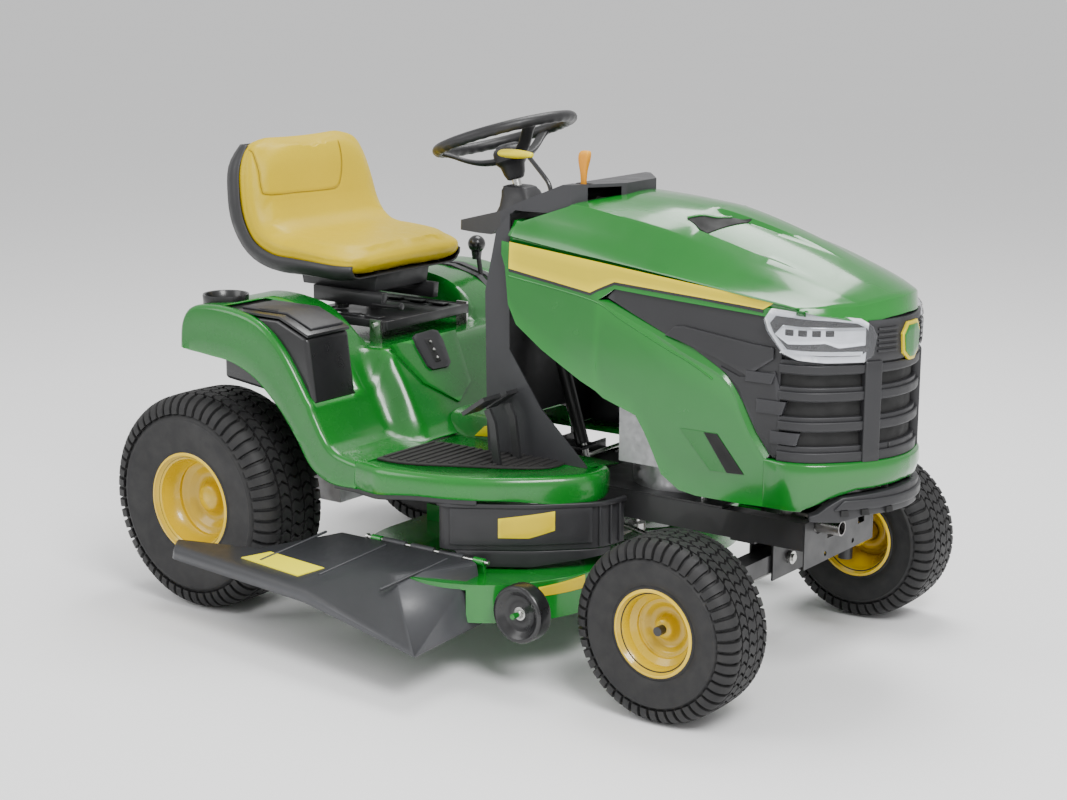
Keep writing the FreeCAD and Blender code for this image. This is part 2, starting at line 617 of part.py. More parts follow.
def at_wheel(body, x, y, z, side):
    """Stands a turned piece at its wheel centre, its outer face away from the machine."""
    if side < 0:
        body.Placement.Rotation = Rotation(Vector(1, 0, 0), 180)
    place(body, x, "%d*(%s)" % (side, y), z)
    return body


def wheels():
    front_bead = "front_tyre_width/2 - 13"
    rear_bead = "rear_tyre_width/2 - 10"
    for side, name in ((-1, "right"), (1, "left")):
        tyre = turned("front_casing", casing_points("front_tyre_radius", "front_tyre_width",
                                                    "front_seat_radius", "front_flange_radius", front_bead))
        finish("front_tyre_" + name, at_wheel(tyre, "wheelbase", "front_wheel_y", "front_tyre_radius", side))
        rim = turned("front_rim", rim_points("front_seat_radius", "front_flange_radius", front_bead,
                                             14, 30, 4, 22, 62, 34, "axle_radius + running_gap"))
        finish("front_rim_" + name, at_wheel(rim, "wheelbase", "front_wheel_y", "front_tyre_radius", side))
        tyre = turned("rear_casing", casing_points("rear_tyre_radius", "rear_tyre_width",
                                                   "rear_seat_radius", "rear_flange_radius", rear_bead))
        finish("rear_tyre_" + name, at_wheel(tyre, 0, "rear_wheel_y", "rear_tyre_radius", side))
        rim = turned("rear_rim", rim_points("rear_seat_radius", "rear_flange_radius", rear_bead,
                                            18, 44, 10, 32, 120, 30, "axle_radius"))
        at_wheel(rim, 0, "rear_wheel_y", "rear_tyre_radius", side)
        start = "115" if side > 0 else "-rear_wheel_y - 33"
        shaft = rod("axle_shaft", "axle_radius", "rear_wheel_y - 82", (0, start, "rear_tyre_radius"), "y")
        outer_end = "rear_wheel_y + 30" if side > 0 else "-rear_wheel_y - 33"
        washer = rod("axle_washer", 16, 3, (0, outer_end, "rear_tyre_radius"), "y")
        finish("rear_rim_" + name, group("rear_rim", rim, fused("axle_shaft", shaft, washer)))


# ---------------------------------------------------------------- front axle and steering

def front_axle():
    beam = block("axle_beam", ("wheelbase - axle_depth/2", "-kingpin_y", "axle_z - axle_half_height"),
                 ("wheelbase + axle_depth/2", "kingpin_y", "axle_z + axle_half_height"))
    hollow = block("axle_hollow", ("wheelbase - axle_depth/2 + 4", "-kingpin_y + 24",
                                   "axle_z - axle_half_height - 1"),
                   ("wheelbase + axle_depth/2 - 4", "kingpin_y - 24", "axle_z + axle_half_height - 4"))
    channel = cut("axle_channel", beam, hollow)
    boss = rod("axle_boss", 14, "axle_depth", ("wheelbase - axle_depth/2", 0, "axle_z"), "x")
    tubes = [rod("kingpin_tube", "kingpin_tube", 64, ("wheelbase", "%d*kingpin_y" % s, "axle_z - 32"))
             for s in (-1, 1)]
    bores = [rod("kingpin_bore", "kingpin_radius + running_gap", 90,
                 ("wheelbase", "%d*kingpin_y" % s, "axle_z - 45")) for s in (-1, 1)]
    pivot = rod("pivot_hole", 8.05, 90, ("wheelbase - 45", 0, "axle_z"), "x")
    finish("front_axle", cut("front_axle", fused("axle_solid", channel, boss, *tubes), *bores, pivot))


def spindles():
    for side, name in ((-1, "right"), (1, "left")):
        y = "%d*kingpin_y" % side
        kingpin = rod("kingpin", "kingpin_radius", "axle_z + 46 - front_tyre_radius",
                      ("wheelbase", y, "front_tyre_radius"))
        knuckle = rod("knuckle", 16, "axle_z - 32.5 - 150", ("wheelbase", y, 150))
        inboard = "kingpin_y" if side > 0 else "-(front_wheel_y + 50)"
        stub = rod("stub_axle", "axle_radius", "front_wheel_y + 50 - kingpin_y",
                   ("wheelbase", inboard, "front_tyre_radius"), "y")
        tie_arm = block("tie_arm", ("wheelbase - tie_arm - 12", y + " - 10", 158),
                        ("wheelbase", y + " + 10", 164))
        tie_stud = rod("tie_stud", 5, 20, ("wheelbase - tie_arm", y, 144))
        pieces = [kingpin, knuckle, stub, tie_arm, tie_stud]
        cap = rod("kingpin_cap", 14, 4, ("wheelbase", y, "axle_z + 36"))
        pieces.append(cap)
        if side < 0:
            pieces.append(block("steer_arm", ("wheelbase - 10", y, "axle_z + 40"),
                                ("wheelbase + 10", y + " + arm_length + 12", "axle_z + 46")))
            pieces.append(rod("steer_stud", 5, 18, ("wheelbase", y + " + arm_length", "axle_z + 24")))
        finish("spindle_" + name, fused("spindle", *pieces))


def tie_rod():
    x = "wheelbase - tie_arm"
    bar = rod("tie_bar", "link_radius", "2*kingpin_y", (x, "-kingpin_y", "tie_z"), "y")
    eyes = [rod("tie_eye", 11, 11, (x, "%d*kingpin_y" % s, "tie_z - 5.5")) for s in (-1, 1)]
    snug = rod("tie_hole", 5.05, 30, (x, "-kingpin_y", "tie_z - 15"))
    loose = rod("tie_open_hole", 7, 30, (x, "kingpin_y", "tie_z - 15"))
    finish("tie_rod", cut("tie_rod", fused("tie_solid", bar, *eyes), snug, loose))


def sector_pivot_x():
    return column_point("sector_z") + " + pinion_radius + sector_radius + 3"


def drag_link():
    """Rod from the right spindle's arm to a point above the sector's arm."""
    start = Vector(number("wheelbase"), number("arm_length - kingpin_y"), number("link_z"))
    end = Vector(number(sector_pivot_x()), number("-20 - arm_length"), number("link_z"))
    run = end - start
    bar = Part.makeCylinder(number("link_radius"), run.Length, start, run)
    eye = Part.makeCylinder(11, 13, start - Vector(0, 0, 6.5))
    far_eye = Part.makeCylinder(11, 13, end - Vector(0, 0, 6.5))
    hole = Part.makeCylinder(5.05, 40, start - Vector(0, 0, 20))
    solid = bar.fuse([eye, far_eye]).removeSplitter().cut(hole)
    finish("drag_link", shape_part("drag_link", solid))


def sector_gear():
    """Quarter gear on a vertical pin, with the arm that pulls the drag link."""
    centre = Vector(number(sector_pivot_x()), -20, number("sector_z"))
    outer = number("sector_radius")
    teeth = 26
    points = [Vector(-12, 14, 0)]
    for index in range(teeth + 1):
        turn = math.radians(180 - 45 + 90 * index / teeth)
        reach = outer if index % 2 else outer - 5
        points.append(Vector(reach * math.cos(turn), reach * math.sin(turn), 0))
    points.append(Vector(-12, -14, 0))
    wedge = Part.Face(Part.makePolygon(points + [points[0]])).extrude(Vector(0, 0, 6))
    wedge.translate(centre)
    hub = Part.makeCylinder(20, 16, centre - Vector(0, 0, 3))
    arm = Part.makeBox(20, number("arm_length") + 10, 6, centre + Vector(-10, -number("arm_length") - 10, 0))
    hole = Part.makeCylinder(8.05, 60, centre - Vector(0, 0, 20))
    pin_free = wedge.fuse([hub, arm]).cut(hole)
    finish("sector_gear", shape_part("sector_gear", pin_free))


def sector_pin():
    """The sector's headed pin and the bracket plate that it hangs from."""
    pin = rod("sector_pin_rod", 8, "rail_low - sector_z + 6", (sector_pivot_x(), -20, "sector_z - 9"))
    plate = block("sector_bracket", (sector_pivot_x() + " - 25", "-rail_y + 2", "rail_low - 3"),
                  (sector_pivot_x() + " + 25", "rail_y - 2", "rail_low"))
    head = rod("sector_pin_head", 14, 4, (sector_pivot_x(), -20, "sector_z - 8"))
    return [fused("sector_pin", pin, head), plate]


def steering_wheel():
    """Padded ring, three dished spokes and a hub, tilted with the column."""
    tilt = number("column_tilt")
    ring = Part.makeTorus(number("ring_radius"), number("grip_radius"))
    hub = Part.makeCylinder(34, 34, Vector(0, 0, -62))
    hub = hub.fuse(Part.makeCone(26, 17, 40, Vector(0, 0, -102)))
    spokes = []
    for angle in (90, 210, 330):
        outline = [Vector(20, 0, -60), Vector(60, 0, -50), Vector(145, 0, -6), Vector(150, 0, 4),
                   Vector(138, 0, 6), Vector(58, 0, -36), Vector(20, 0, -42)]
        face = Part.Face(Part.makePolygon(outline + [outline[0]]))
        spoke = face.extrude(Vector(0, 26, 0))
        spoke.translate(Vector(0, -13, 0))
        spoke.rotate(Vector(0, 0, 0), Vector(0, 0, 1), angle)
        spokes.append(spoke)
    bore = Part.makeCylinder(number("shaft_radius"), 76, Vector(0, 0, -110))
    solid = hub.fuse(spokes + [ring]).cut(bore)
    solid.rotate(Vector(0, 0, 0), Vector(0, 1, 0), -tilt)
    solid.translate(Vector(number("steering_x"), 0, number("steering_z")))
    finish("steering_wheel", shape_part("steering_wheel", solid))


def steering_shaft():
    tilt = -values["column_tilt"]
    top = "steering_z - 36*cos(column_tilt)"
    low = "sector_z - 6"
    shaft = leaning(rod("shaft_rod", "shaft_radius", "(%s - (%s))/cos(column_tilt)" % (top, low),
                        (column_point(low), 0, low)), tilt)
    pinion = leaning(rod("pinion", "pinion_radius", 16, (column_point(low), 0, low)), tilt)
    finish("steering_shaft", fused("steering_shaft", shaft, pinion))


# ---------------------------------------------------------------- hood

HOOD_STATIONS = (
    # x, centre top, crease y, crease z, shoulder y, shoulder z, lower half width, bottom z
    (682, 985, 158, 968, 208, 890, 226, 704),
    (815, 985, 155, 961, 206, 872, 226, 652),
    (942, 981, 152, 942, 205, 858, 224, 598),
    (1031, 975, 150, 926, 205, 848, 222, 494),
    (1131, 963, 146, 901, 205, 836, 220, 390),
    (1300, 914, 141, 866, 207, 814, 214, 394),
    (1395, 870, 137, 842, 200, 794, 205, 398),
    (1440, 849, 135, 830, 180, 786, 188, 420),
    (1490, 824, 126, 816, 146, 778, 152, 438),
    (1528, 800, 84, 792, 96, 770, 100, 446))


def hood_section(station, inset, drop):
    x, top, crease_y, crease_z, shoulder_y, shoulder_z, low_y, low_z = station
    half = [(low_y - inset, low_z - drop), (shoulder_y - inset, shoulder_z),
            (crease_y - inset, crease_z - inset), (0, top - inset)]
    left = [(y, z) for y, z in half]
    right = [(-y, z) for y, z in half[:3]][::-1]
    return [(x, y, z) for y, z in left + right]


def hood_shell():
    """Thin shell, open below and at the rear, cut away in front for the grille and the lamps."""
    wall = number("hood_wall")
    outer = lofted([hood_section(s, 0, 0) for s in HOOD_STATIONS])
    inner_stations = [list(s) for s in HOOD_STATIONS]
    inner_stations[0][0] -= 10
    inner_stations[-1][0] -= wall
    inner = lofted([hood_section(s, wall, 60) for s in inner_stations])
    shell = outer.cut(inner)
    grille_mouth = Part.makeBox(200, 424, 262, Vector(1345, -212, 519))
    vents = [Part.makeBox(110, 60, 60, Vector(1145, y, 475)) for y in (-250, 190)]
    slot = Part.makeBox(20, 220, 60, Vector(1104, -110, 925))
    notch = [(600, -190), (700, -190), (807, -158), (884, -62), (884, 62), (807, 158), (700, 190), (600, 190)]
    corners = [Vector(x, y, 905) for x, y in notch]
    dash_room = Part.Face(Part.makePolygon(corners + [corners[0]])).extrude(Vector(0, 0, 150))
    trimmed = shell.cut([grille_mouth, slot, dash_room] + vents)
    finish("hood_shell", shape_part("hood_shell", trimmed))


def nose_front(y):
    """Forward reach of the nose at a distance from the centreline."""
    return 1524 - 0.0030 * y * y


def nose_band(y_low, y_high, z_low, z_high, depth, steps=6):
    """A curved upright band that follows the nose between two sideways positions."""
    rows = [y_low + (y_high - y_low) * i / steps for i in range(steps + 1)]
    front = [Vector(nose_front(y), y, z_low) for y in rows]
    back = [Vector(nose_front(y) - depth, y, z_low) for y in reversed(rows)]
    face = Part.Face(Part.makePolygon(front + back + [front[0]]))
    return face.extrude(Vector(0, 0, z_high - z_low))


def grille():
    """Louvred front: four slats between a top and a bottom bar, parted by two upright bars."""
    slats = [nose_band(-196, 196, z, z + 22, 40) for z in (530, 586, 642, 698)]
    bars = [nose_band(s * 104 - 6, s * 104 + 6, 522, 778, 46, 2) for s in (-1, 1)]
    plate = nose_band(-34, 34, 690, 778, 30, 2)
    ends = [Part.makeBox(60, 6, 190, Vector(1350, s * 196 - 3, 526)) for s in (-1, 1)]
    backing = Part.makeBox(4, 330, 194, Vector(1372, -165, 524))
    slots = [Part.makeBox(10, 300, 26, Vector(1368, -150, z)) for z in (556, 612, 668)]
    solid = slats[0].fuse(slats[1:] + bars + [plate] + ends)
    webs = [Part.makeBox(nose_front(y) - 1372 - 8, 4, 190, Vector(1372, y - 2, 526)) for y in (-150, 0, 150)]
    solid = solid.fuse(webs + [backing]).cut(slots)
    finish("grille", shape_part("grille", solid))


def headlights():
    """Lamp bowls at the upper corners of the nose, and their clear lenses."""
    bowls = []
    lenses = []
    for side in (-1, 1):
        low, high = sorted((side * 112, side * 198))
        band = nose_band(low, high, 722, 776, 70, 5)
        room = nose_band(low + 5, high - 5, 728, 770, 62, 5)
        room.translate(Vector(4, 0, 0))
        bowls.append(band.cut(room))
        lens = nose_band(low + 5.5, high - 5.5, 728.5, 769.5, 4, 5)
        lenses.append(lens)
    finish("headlight_housings", group("headlight_housings", *[shape_part("lamp_bowl", b) for b in bowls]))
    finish("headlight_lenses", group("headlight_lenses", *[shape_part("lamp_lens", b) for b in lenses]))


def hood_inserts():
    """Black side panels between the stripe and the lower side, from behind the lamps."""
    pieces = []
    for side in (-1, 1):
        y = side * 229
        outline = [Vector(915, y, 776), Vector(1300, y, 770), Vector(1330, y, 700), Vector(1330, y, 530),
                   Vector(1240, y, 560), Vector(1130, y, 640)]
        face = Part.Face(Part.makePolygon(outline + [outline[0]]))
        pieces.append(shape_part("insert", face.extrude(Vector(0, -side * 2.5, 0))))
    finish("hood_inserts", group("hood_inserts", *pieces))


def hood_hinge():
    """Two arms inside the nose whose pins turn in the bumper."""
    arms = []
    for side in (-1, 1):
        y = side * 50
        arms.append(block("hinge_arm", ("pivot_x - 7", "%d - 3" % y, "pivot_z - 6"),
                          ("pivot_x + 6", "%d + 3" % y, 528)))
    pin = rod("hinge_pin", 4, 110, ("pivot_x", -55, "pivot_z"), "y")
    finish("hood_hinge", fused("hood_hinge", *arms, pin))


# ---------------------------------------------------------------- seat

def seat_pan():
    """Pressed tray on two front pivots, with spring pads and slide slots."""
    tray = block("pan_tray", (20, "-pan_y", "pan_z - 6"), (285, "pan_y", "pan_z"))
    dish = block("pan_dish", (45, "-pan_y + 25", "pan_z - 3"), (262, "pan_y - 25", "pan_z + 2"))
    slots = [block("pan_slot", (70, "%d*95 - 8" % s, "pan_z - 10"), (200, "%d*95 + 8" % s, "pan_z + 6"))
             for s in (-1, 1)]
    ears = [block("pan_ear", (240, "%d*(pan_y + 3) - 3" % s, "pan_pivot_z - 14"),
                  (285, "%d*(pan_y + 3) + 3" % s, "pan_z")) for s in (-1, 1)]
    holes = rod("pan_hole", 5.05, 400, ("pan_pivot_x", -200, "pan_pivot_z"), "y")
    tray_steel = cut("pan_steel", fused("pan_solid", tray, *ears), dish, *slots, holes)
    finish("seat_pan", group("seat_pan", tray_steel, *seat_springs()))


def seat_bracket():
    """Pivot brackets on the seat deck, with the pivot bolts and two rear stops."""
    brackets = [block("pivot_bracket", ("pan_pivot_x - 16", "%d*(pan_y + 10) - 3" % s, "seat_deck_z + 3"),
                      ("pan_pivot_x + 16", "%d*(pan_y + 10) + 3" % s, "pan_pivot_z + 12")) for s in (-1, 1)]
    bolts = []
    for side in (-1, 1):
        start = "pan_y - 6" if side > 0 else "-pan_y - 20"
        bolts.append(rod("pivot_bolt", 5, 26, ("pan_pivot_x", start, "pan_pivot_z"), "y"))
    stops = [rod("rear_stop", 14, "pan_z - 6.5 - seat_deck_z - 3", (60, "%d*110" % s, "seat_deck_z + 3"))
             for s in (-1, 1)]
    solids = [fused("bracket_solid", brackets[i], bolts[i]) for i in (0, 1)]
    return solids + stops


def seat_springs():
    """Envelopes of the two coil springs that carry the rear of the seat."""
    springs = []
    for side in (-1, 1):
        coil = rod("spring_coil", 17, 20, (70, "%d*60" % side, "pan_z + 0.5"))
        springs.append(cut("spring", coil, rod("spring_eye", 11, 30, (70, "%d*60" % side, "pan_z - 2"))))
    return springs


SEAT_SIDE = [(-150, 985), (-128, 1040), (-75, 1055), (-42, 1010), (-10, 880), (30, 838), (120, 828),
             (215, 822), (244, 795), (238, 756), (180, 755), (0, 758), (-62, 784)]


def seat_shell():
    """Black moulded base under and behind the cushion, its keel and the slide rails."""
    line = [(-158, 985), (-150, 985), (-62, 784), (0, 758), (180, 755), (238, 756), (248, 766), (242, 746),
            (180, 745), (0, 746), (-78, 770)]
    base = profile("shell_base", "XZ_Plane", line, "2*seat_y - 24")
    keel = block("shell_keel", (-20, -170, 703), (205, 170, 747))
    rails = [block("slide_rail", (40, "%d*95 - 12" % s, "pan_z + 18"), (220, "%d*95 + 12" % s, 704))
             for s in (-1, 1)]
    lever = block("slide_lever", (215, -107, "pan_z + 24"), (292, -95, "pan_z + 30"))
    finish("seat_shell", fused("seat_shell", base, keel, *rails, lever))


def seat_cushion():
    cushion = profile("cushion", "XZ_Plane", SEAT_SIDE, "2*seat_y - 6")
    finish("seat_cushion", cushion)


# ---------------------------------------------------------------- mower deck

def lobes(radius, low, high, name):
    """Two overlapping discs with a bridge between them, the plan shape of a twin-blade deck."""
    discs = [rod(name, radius, "(%s) - (%s)" % (high, low), ("deck_x", "%d*deck_lobe_y" % s, low))
             for s in (-1, 1)]
    bridge = block(name + "_bridge", ("deck_x - (%s)" % radius, "-deck_lobe_y", low),
                   ("deck_x + (%s)" % radius, "deck_lobe_y", high))
    return fused(name + "_lobes", *discs, bridge)


def deck_shell():
    """Pressed green housing, open below and at the right-hand discharge."""
    outer = lobes("deck_radius", "deck_low", "deck_top", "deck_outer")
    inner = lobes("deck_radius - deck_wall", "deck_low - 5", "deck_top - deck_wall", "deck_inner")
    mouth = block("discharge_mouth", ("deck_x - 190", -560, "deck_low - 5"),
                  ("deck_x + 125", -470, "deck_top - 12"))
    ports = [rod("spindle_port", 17.1, 40, ("deck_x", "%d*deck_lobe_y" % s, "deck_top - 20"))
             for s in (-1, 1)]
    hinge_knuckles = [rod("chute_knuckle", 8, 26, (x, "-hinge_y", "hinge_z"), "x") for x in (480, 760)]
    hinge_legs = [block("chute_leg", (x, "-hinge_y", "deck_top - 2"), (x + 26, "-hinge_y + 6", "hinge_z"))
                  for x in (480, 760)]
    hinge_hole = rod("hinge_bore", 4.05, 420, (430, "-hinge_y", "hinge_z"), "x")
    hangers = [block("deck_hanger", (x, "%d*170 - 3" % s, "deck_top - 2"),
                     (x + 40, "%d*170 + 3" % s, "deck_top + 38"))
               for x in (420, 860) for s in (-1, 1)]
    arms = []
    for side in (-1, 1):
        inner_y = "%d*(gauge_y - gauge_width/2 - 8)" % side
        arms.append(block("gauge_arm", (868, inner_y + " - 3", "gauge_z - 14"),
                          ("gauge_x + 12", inner_y + " + 3", "gauge_z + 14")))
        start = "gauge_y - gauge_width/2 - 11" if side > 0 else "-(gauge_y + gauge_width/2 + 12)"
        arms.append(rod("gauge_bolt", 6, "gauge_width + 23", ("gauge_x", start, "gauge_z"), "y"))
    body = cut("deck_cavity", outer, inner)
    body = cut("deck_trimmed", fused("deck_solid", body, *hinge_knuckles, *hinge_legs, *hangers, *arms),
               mouth, *ports, hinge_hole)
    finish("deck_shell", body)


def deck_hardware():
    """Cast bearing housings bored for the blade shafts, and the chute's hinge pin."""
    pieces = []
    for side in (-1, 1):
        y = "%d*deck_lobe_y" % side
        flange = rod("housing_flange", 52, 6, ("deck_x", y, "deck_top"))
        nose = rod("housing_nose", 26, 8, ("deck_x", y, "deck_top + 6"))
        throat = rod("housing_throat", 17, 40, ("deck_x", y, "deck_top - 34"))
        bore = rod("housing_bore", "10.05", 80, ("deck_x", y, "deck_top - 50"))
        pieces.append(cut("housing", fused("housing_solid", flange, nose, throat), bore))
    finish("deck_hardware", group("deck_hardware", *pieces, chute_pin()))


def blades():
    """Blade, shaft and belt pulley of each lobe, which turn as one."""
    for side, name in ((-1, "right"), (1, "left")):
        y = "%d*deck_lobe_y" % side
        bar = block("blade_bar", ("deck_x - blade_width/2", "-blade_half_length + (%s)" % y, "blade_z"),
                    ("deck_x + blade_width/2", "blade_half_length + (%s)" % y, "blade_z + 4"))
        wings = []
        for t in (-1, 1):
            wing_x = "deck_x - %d*blade_width/2" % t
            wing_y = "%s + %d*(blade_half_length - 30)" % (y, t)
            wings.append(block("blade_wing", (wing_x + " - 2", wing_y + " - 28", "blade_z"),
                               (wing_x + " + 2", wing_y + " + 28", "blade_z + 22")))
        shaft = rod("blade_shaft", 10, "pulley_z + 24 - blade_z", ("deck_x", y, "blade_z - 4"))
        nut = rod("blade_nut", 15, 8, ("deck_x", y, "blade_z - 8"))
        collar = rod("blade_collar", 22, 18, ("deck_x", y, "blade_z + 4"))
        low = rod("pulley_low", "pulley_radius", 4, ("deck_x", y, "pulley_z - 4"))
        waist = rod("pulley_waist", "pulley_radius - 12", 12, ("deck_x", y, "pulley_z"))
        high = rod("pulley_high", "pulley_radius", 4, ("deck_x", y, "pulley_z + 12"))
        finish("blade_" + name, fused("blade", bar, *wings, shaft, nut, collar, low, waist, high))


def mower_belt():
    """V-belt loop around both blade pulleys."""
    y = number("deck_lobe_y")
    x = number("deck_x")
    outer = number("pulley_radius") - 1.0
    inner = number("pulley_radius") - 11.6
    low = number("pulley_z") + 1.2

    def loop(radius):
        start = Part.makeCylinder(radius, 9.6, Vector(x, -y, low))
        end = Part.makeCylinder(radius, 9.6, Vector(x, y, low))
        middle = Part.makeBox(2 * radius, 2 * y, 9.6, Vector(x - radius, -y, low))
        return start.fuse([end, middle]).removeSplitter()
    finish("mower_belt", shape_part("mower_belt", loop(outer).cut(loop(inner))))


def deck_covers():
    """Black domed guards over the blade pulleys."""
    pieces = []
    for side in (-1, 1):
        y = "%d*deck_lobe_y" % side
        dome = rod("cover_wall", 88, 46, ("deck_x", y, "deck_top + 0.3"))
        room = rod("cover_room", 84, 46, ("deck_x", y, "deck_top - 3.7"))
        gap_low = "-(deck_lobe_y)" if side < 0 else "-100"
        gap_high = "100" if side < 0 else "deck_lobe_y"
        gap = block("belt_gap", ("deck_x - 70", gap_low, "deck_top + 6"),
                    ("deck_x + 70", gap_high, "deck_top + 44"))
        pieces.append(cut("cover", dome, room, gap))
    finish("deck_covers", group("deck_covers", *pieces))


def chute():
    """Moulded discharge deflector: sloping top, front wall and outer lip, on its hinge barrel."""
    wall = number("chute_wall")
    hinge_y = -number("hinge_y")
    hinge_z = number("hinge_z")
    lip_z = 165
    top = [Vector(792, hinge_y - 10, hinge_z), Vector(800, -696, lip_z), Vector(490, -660, lip_z),
           Vector(60, -622, lip_z), Vector(42, -596, lip_z + 4), Vector(262, -560, hinge_z - 36),
           Vector(400, hinge_y - 10, hinge_z)]
    slope = (hinge_z - lip_z) / (696.0 + hinge_y - 10)

    def surface(y):
        return hinge_z + slope * (y - (hinge_y - 10))
    plan = [(v.x, v.y) for v in top]
    upper = [Vector(x, y, surface(y)) for x, y in plan]
    skin = Part.Face(Part.makePolygon(upper + [upper[0]])).extrude(Vector(0, 0, -wall))
    barrel = Part.makeCylinder(7.5, 240, Vector(512, hinge_y, hinge_z), Vector(1, 0, 0))
    web = Part.makeBox(240, 14, wall, Vector(512, hinge_y - 14, hinge_z - 7))
    hole = Part.makeCylinder(4.05, 300, Vector(480, hinge_y, hinge_z), Vector(1, 0, 0))
    front = Part.Face(Part.makePolygon([
        Vector(796, hinge_y - 14, surface(hinge_y - 14)), Vector(796, -694, surface(-694)),
        Vector(796, -690, 140), Vector(796, -480, 112), Vector(796, hinge_y - 50, 150),
        Vector(796, hinge_y - 14, surface(hinge_y - 14))])).extrude(Vector(-wall, 0, 0))
    lip_line = [(798, -696), (490, -660), (60, -622)]
    lips = []
    for (xa, ya), (xb, yb) in zip(lip_line, lip_line[1:]):
        quad = [Vector(xa, ya, surface(ya)), Vector(xb, yb, surface(yb)),
                Vector(xb, yb, surface(yb) - 24), Vector(xa, ya, surface(ya) - 24)]
        lips.append(Part.Face(Part.makePolygon(quad + [quad[0]])).extrude(Vector(0, wall, 0)))
    solid = skin.fuse([front, barrel, web] + lips).cut(hole)
    knuckle_room = [Part.makeBox(34, 40, 40, Vector(x, hinge_y - 20, hinge_z - 20)) for x in (476, 756)]
    knuckle_room.append(Part.makeCylinder(number("deck_radius") + 4, 160, Vector(
        number("deck_x"), -number("deck_lobe_y"), number("deck_top") - 155)))
    finish("chute", shape_part("chute", solid.cut(knuckle_room)))


def chute_pin():
    pin = rod("hinge_pin", 4, 330, (468, "-hinge_y", "hinge_z"), "x")
    head = rod("hinge_pin_head", 7, 4, (464, "-hinge_y", "hinge_z"), "x")
    return fused("chute_pin", pin, head)


def gauge_wheels():
    for side, name in ((-1, "right"), (1, "left")):
        half = "gauge_width/2"
        wheel = turned("gauge", [("6 + running_gap", half), (20, half), (22, half + " - 8"),
                                 ("gauge_radius - 16", half + " - 8"), ("gauge_radius - 12", half),
                                 ("gauge_radius - 4", half), ("gauge_radius", half + " - 5"),
                                 ("gauge_radius", "-(%s) + 5" % half), ("gauge_radius - 4", "-(%s)" % half),
                                 ("6 + running_gap", "-(%s)" % half)])
        finish("gauge_wheel_" + name, at_wheel(wheel, "gauge_x", "gauge_y", "gauge_z", side))


# ---------------------------------------------------------------- controls

def pedals():
    """Forward and reverse pedals on the right footrest and the brake pedal on the left."""
    arm_line = [(715, 372), (735, 372), (716, 500), (700, 530), (686, 524), (700, 494)]
    for name, y, reach in (("forward_pedal", -300, 30), ("reverse_pedal", -229, 20),
                           ("brake_pedal", 250, 32)):
        arm = profile(name + "_arm", "XZ_Plane", arm_line, 8, y)
        pad = doc.addObject("Part::Box", unique(name + "_pad"))
        bind(pad, Length="70", Width=str(2 * reach), Height="9")
        place(pad, 650, y - reach, 512, axis=(0, 1, 0), angle=-34)
        barrel = rod(name + "_barrel", 11, 30, (725, y - 15, 364), "y")
        hole = rod(name + "_hole", 6.05, 60, (725, y - 30, 364), "y")
        finish(name, cut(name, fused(name + "_solid", arm, pad, barrel), hole))


def pedal_shaft():
    """Cross shaft that carries the pedals, held by two hangers on the rails."""
    shaft = rod("pedal_rod", 6, 640, (725, -330, 364), "y")
    collars = [rod("pedal_collar", 10, 6, (725, y, 364), "y") for y in (-330, -276, -254, -202, 224, 274)]
    feet = [block("pedal_foot", (717, "%d*162 - 3" % s, 345), (733, "%d*162 + 3" % s, 356)) for s in (-1, 1)]
    return fused("pedal_shaft", shaft, *collars, *feet)


def pto_lever():
    """Bent rod with a broad grip that tightens the blade belt."""
    path = [Vector(731, -125, 930), Vector(731, -125, 985), Vector(715, -125, 1006), Vector(672, -125, 1050)]
    rods = [Part.makeCylinder(5, (b - a).Length, a, b - a) for a, b in zip(path, path[1:])]
    joints = [Part.makeSphere(5, p) for p in path[1:-1]]
    grip = Part.makeBox(82, 34, 14, Vector(593, -142, 1047))
    barrel = Part.makeCylinder(9, 16, Vector(731, -133, 930), Vector(0, 1, 0))
    finish("pto_lever", shape_part("pto_lever", rods[0].fuse(rods[1:] + joints + [grip, barrel])))


def throttle_lever():
    blade_line = [(800, 958), (812, 958), (814, 1030), (824, 1062), (796, 1070), (792, 1054), (802, 1030)]
    blade = profile("throttle_blade", "XZ_Plane", blade_line, 8, -114)
    barrel = rod("throttle_barrel", 9, 10, (806, -119, 952), "y")
    finish("throttle_lever", fused("throttle_lever", blade, barrel))


def lift_lever():
    """Long lever beside the seat that raises the deck, with a ball knob."""
    start = Vector(215, 345, 470)
    end = Vector(163, 345, 762)
    bar = Part.makeCylinder(6, (end - start).Length, start, end - start)
    knob = Part.makeSphere(21, end)
    barrel = Part.makeCylinder(15, 30, Vector(215, 330, 470), Vector(0, 1, 0))
    finish("lift_lever", shape_part("lift_lever", bar.fuse([knob, barrel])))


def ignition_key():
    stem = rod("key_stem", 4, 40, (620, 95, 900))
    head = block("key_head", (612, 93, 938), (628, 97, 960))
    finish("ignition_key", fused("ignition_key", stem, head))


def crank_pulley():
    """Crankshaft tail with the drive and mower pulleys below the engine plate."""
    shaft = rod("crank_tail", 12.7, 168, ("engine_x", 0, 296))
    low = rod("crank_pulley_low", 58, 4, ("engine_x", 0, 298))
    waist = rod("crank_waist", 44, 12, ("engine_x", 0, 302))
    high = rod("crank_pulley_high", 58, 4, ("engine_x", 0, 314))
    finish("crank_pulley", fused("crank_pulley", shaft, low, waist, high))


# ---------------------------------------------------------------- assembly

